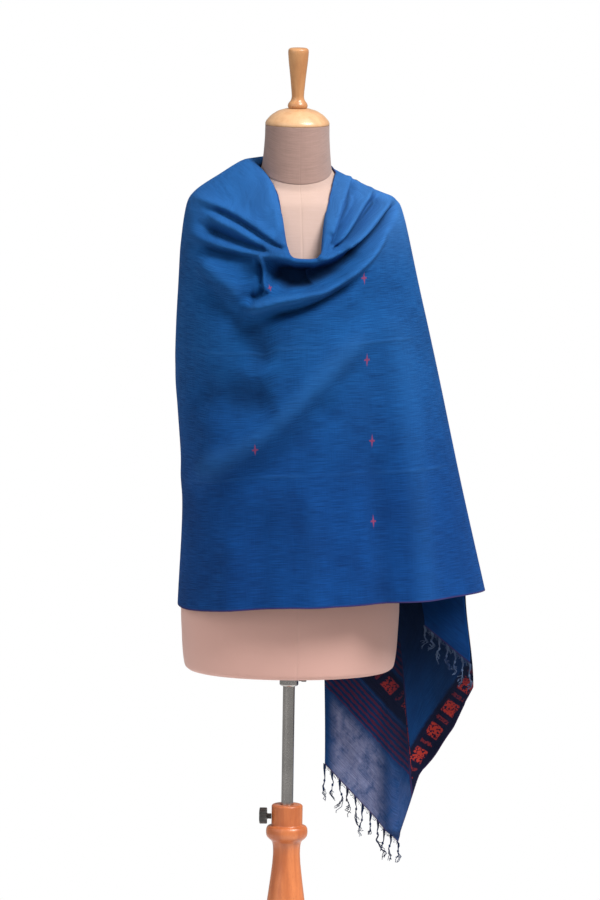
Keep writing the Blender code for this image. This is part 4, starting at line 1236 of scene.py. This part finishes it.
def threadSet(edge, count, threads, length, radius, seed, knotted):
    # threads along the edge, in tassels of several with a knot or as single ravelled ends
    size, tree = fringePiece, edge.id_data
    spots = newNode(tree, "GeometryNodeCurveToPoints", Curve=edge, Count=count).outputs
    points = storeValue(spots["Points"], "along", "FLOAT_VECTOR", spots["Tangent"])
    points = storeValue(points, "tassel", "FLOAT", geometry(tree, "InputIndex"))
    copies = tree.nodes.new("GeometryNodeDuplicateElements")
    copies.domain = "POINT"
    feed(points, copies.inputs["Geometry"])
    feed(threads, copies.inputs["Amount"])
    share = minus(divided(plus(copies.outputs["Duplicate Index"], 0.5), threads), 0.5)
    roots = storeValue(copies.outputs["Geometry"], "strand", "FLOAT", share)
    line = geometry(tree, "CurvePrimitiveLine", End=(0.0, 0.0, -1.0))
    line = geometry(tree, "ResampleCurve", Curve=line, Count=size["points"])
    lines = geometry(tree, "InstanceOnPoints", Points=roots, Instance=line)
    lines = geometry(tree, "RealizeInstances", Geometry=lines)
    part = tree.nodes.new("GeometryNodeSplineParameter").outputs["Factor"]
    offset = vectors("ADD", threadPath(part, length, seed, knotted), combined(0.0, 0.0, part))
    hung = geometry(tree, "SetPosition", Geometry=lines, Offset=offset)
    circle = geometry(tree, "CurvePrimitiveCircle", Resolution=5, Radius=radius)
    yarn = geometry(tree, "CurveToMesh", Curve=hung, Profile_Curve=circle, Fill_Caps=True)
    if not knotted:
        return [yarn]
    place = tree.nodes.new("ShaderNodeValue").outputs[0]
    place.default_value = size["knotPlace"]
    knots = geometry(tree, "SetPosition", Geometry=points, Offset=threadPath(place, length, seed, knotted))
    ball = geometry(tree, "MeshUVSphere", Segments=10, Rings=8, Radius=size["knotRadius"])
    return [yarn, geometry(tree, "InstanceOnPoints", Points=knots, Instance=ball, Scale=(0.9, 0.9, 1.35))]


def makeFringeNodes():
    tree = bpy.data.node_groups.new("knottedTassels", "GeometryNodeTree")
    for label, kind in (("Edge", "Geometry"), ("Tassels", "Int"), ("Threads", "Int"), ("Length", "Float"),
                        ("Ravels", "Int"), ("Ravel Length", "Float"), ("Thread Radius", "Float"),
                        ("Seed", "Float"), ("Material", "Material")):
        tree.interface.new_socket(label, in_out="INPUT", socket_type="NodeSocket" + kind)
    tree.interface.new_socket("Geometry", in_out="OUTPUT", socket_type="NodeSocketGeometry")
    given = tree.nodes.new("NodeGroupInput").outputs
    edge = geometry(tree, "MeshToCurve", Mesh=given["Edge"])
    radius, seed = given["Thread Radius"], given["Seed"]
    parts = threadSet(edge, given["Tassels"], given["Threads"], given["Length"], radius, seed, True)
    parts += threadSet(edge, given["Ravels"], 1, given["Ravel Length"], times(radius, 0.6), seed, False)
    joined = tree.nodes.new("GeometryNodeJoinGeometry")
    for threads in parts:
        feed(threads, joined.inputs[0])
    whole = geometry(tree, "RealizeInstances", Geometry=joined.outputs[0])
    smooth = geometry(tree, "SetShadeSmooth", Geometry=whole)
    painted = geometry(tree, "SetMaterial", Geometry=smooth, Material=given["Material"])
    feed(painted, tree.nodes.new("NodeGroupOutput").inputs[0])
    return tree


def yarnMaterial(name, dark, pale):
    material, tree, shader = clothMaterial(name, 0.88)
    place = onObject(tree)
    own = chance(pointValue(tree, "tassel"), 0.5)
    tone = plus(times(wearOn(place, 60.0, 900.0)["Patch"], 0.45), times(own, 0.45))
    twist = cloudy(scaled(place, (1500.0, 1500.0, 700.0)), 1.0, 1.0)
    finish(shader, mixColors(tone, dark, pale), 0.88, twist, 0.0003, 0.8)
    return material


def makeFringe(name, edge, tree, material, settings):
    mesh = bpy.data.meshes.new(name)
    mesh.from_pydata(edge.tolist(), [(i, i + 1) for i in range(len(edge) - 1)], [])
    piece = newPiece(name, mesh, material, smooth=False)
    tassels = piece.modifiers.new("Tassels", "NODES")
    tassels.node_group = tree
    values = {"Material": material, **settings}
    for item in tree.interface.items_tree:
        if item.in_out == "INPUT" and item.name in values:
            tassels[item.identifier] = values[item.name]
    return applied(piece)


def makeShawl():
    size, half = shawlPiece, shawlPiece["wall"] / 2
    cloth, lift = shawlMaterial(), size["modelWall"] + 2 * gap
    shells, fringes = [], []
    for name, start, end in (("front", size["seamLeft"], size["seamRight"]),
                             ("back", size["seamRight"], 360.0 + size["seamLeft"])):
        counts = (size[name + part] for part in ("Columns", "Rows", "Crowding"))
        grid, angles, rise = ringGrid(start, end, *counts)
        shells.append(clothShell("shawl_%s_cloth" % name, grid, clothUv(grid, angles), cloth, rise))
    grids = {"long": hangingEnd(endPiece["long"], lift),
             "short": hangingEnd(endPiece["short"], -lift + size["wall"])}
    for (name, grid), material in zip(grids.items(), (endMaterial(), cloth)):
        rise = np.zeros(grid.shape[:2])
        shells.append(clothShell("shawl_%s_end_cloth" % name, grid, endUv(grid), material, rise))
    tree = makeFringeNodes()
    for name, grid in grids.items():
        last = round(fringePiece[name]["Reach"] * (grid.shape[1] - 1))
        hem = (grid[-1] + half * gridNormals(grid)[-1])[::-1][:last + 1]
        yarn = yarnMaterial(*fringePiece[name]["Yarn"])
        fringe = makeFringe("knotted_fringe_" + name, hem, tree, yarn, fringePiece[name])
        standsFor(fringe, "fringe_" + name, "form")
        print("fringe", name, "triangles", sum(len(face.vertices) - 2 for face in fringe.data.polygons))
        fringes.append([fringe])
    for piece, node, flat, ownFringe in zip(
            shells, ("shawl_front", "shawl_back", "shawl_end_long", "shawl_end_short"),
            ((0.71, 0.65), (0.52, 0.72), (0.26, 0.98), (0.12, 0.27)), ([], [], *fringes)):
        standsFor(piece, node, "form")
    print("shawl done")


makeShawl()


# Camera, light and floor

studio = {
    "distance": 13.0,
    "elevation": 7.5,
    "aim": (0.0116, 0.0, 1.0911),
    "roll": 0.87,
    "frameHeight": 1.395,
    "floor": (0.8, 0.8, 0.8, 1.0),
    "floorRadius": 1.75,
    "floorSides": 96,
    "floorDrop": 0.0005,       # how far the floor lies below the base
    "skyLight": 0.31,
    "key": 4.3,
    "fill": 0.75,
}


def makeCamera():
    camera = bpy.data.objects.new("studioCamera", bpy.data.cameras.new("studioCamera"))
    bpy.context.scene.collection.objects.link(camera)
    rise = math.radians(studio["elevation"])
    aim = Vector(studio["aim"])
    back = Vector((0.0, -math.cos(rise), math.sin(rise)))
    camera.location = aim + back * studio["distance"]
    turn = (-back).to_track_quat("-Z", "Y").to_matrix().to_4x4()
    roll = Matrix.Rotation(math.radians(studio["roll"]), 4, "Z")
    camera.rotation_euler = (turn @ roll).to_euler()
    camera.data.sensor_width = 36.0
    camera.data.lens = 36.0 * studio["distance"] / studio["frameHeight"]
    camera.data.clip_end = 200.0
    bpy.context.scene.camera = camera


def addSun(name, direction, strength, softness):
    # a sun that shines from the direction, with soft shadows
    data = bpy.data.lights.new(name, "SUN")
    data.energy = strength
    data.angle = math.radians(softness)
    light = bpy.data.objects.new(name, data)
    bpy.context.scene.collection.objects.link(light)
    light.rotation_euler = Vector(direction).to_track_quat("Z", "Y").to_euler()


def makeStudio():
    mesh = bpy.data.meshes.new("studio_floor")
    radius, sides, drop = (studio[part] for part in ("floorRadius", "floorSides", "floorDrop"))
    turns = [2 * math.pi * i / sides for i in range(sides)]
    rim = [(radius * math.cos(turn), radius * math.sin(turn), -drop) for turn in turns]
    mesh.from_pydata(rim, [], [tuple(range(sides))])
    material = newMaterial("paleFloor", 0.9, Base_Color=studio["floor"])[0]
    newPiece("studio_floor", mesh, material, smooth=False)
    world = bpy.data.worlds.new("softStudio")
    world.use_nodes = True
    sky = world.node_tree
    back = sky.nodes["Background"]
    back.inputs["Color"].default_value = (1.0, 1.0, 1.0, 1.0)
    seen = sky.nodes.new("ShaderNodeLightPath").outputs["Is Camera Ray"]
    sky.links.new(remap(seen, 0.0, 1.0, studio["skyLight"], 1.0, smooth=False), back.inputs["Strength"])
    bpy.context.scene.world = world
    addSun("keySun", (1.6, -1.3, 2.6), studio["key"], 30.0)
    addSun("fillSun", (-2.4, -2.0, 1.8), studio["fill"], 60.0)
    bpy.context.scene.view_settings.view_transform = "Standard"


makeCamera()
makeStudio()
print("camera, light and floor done")
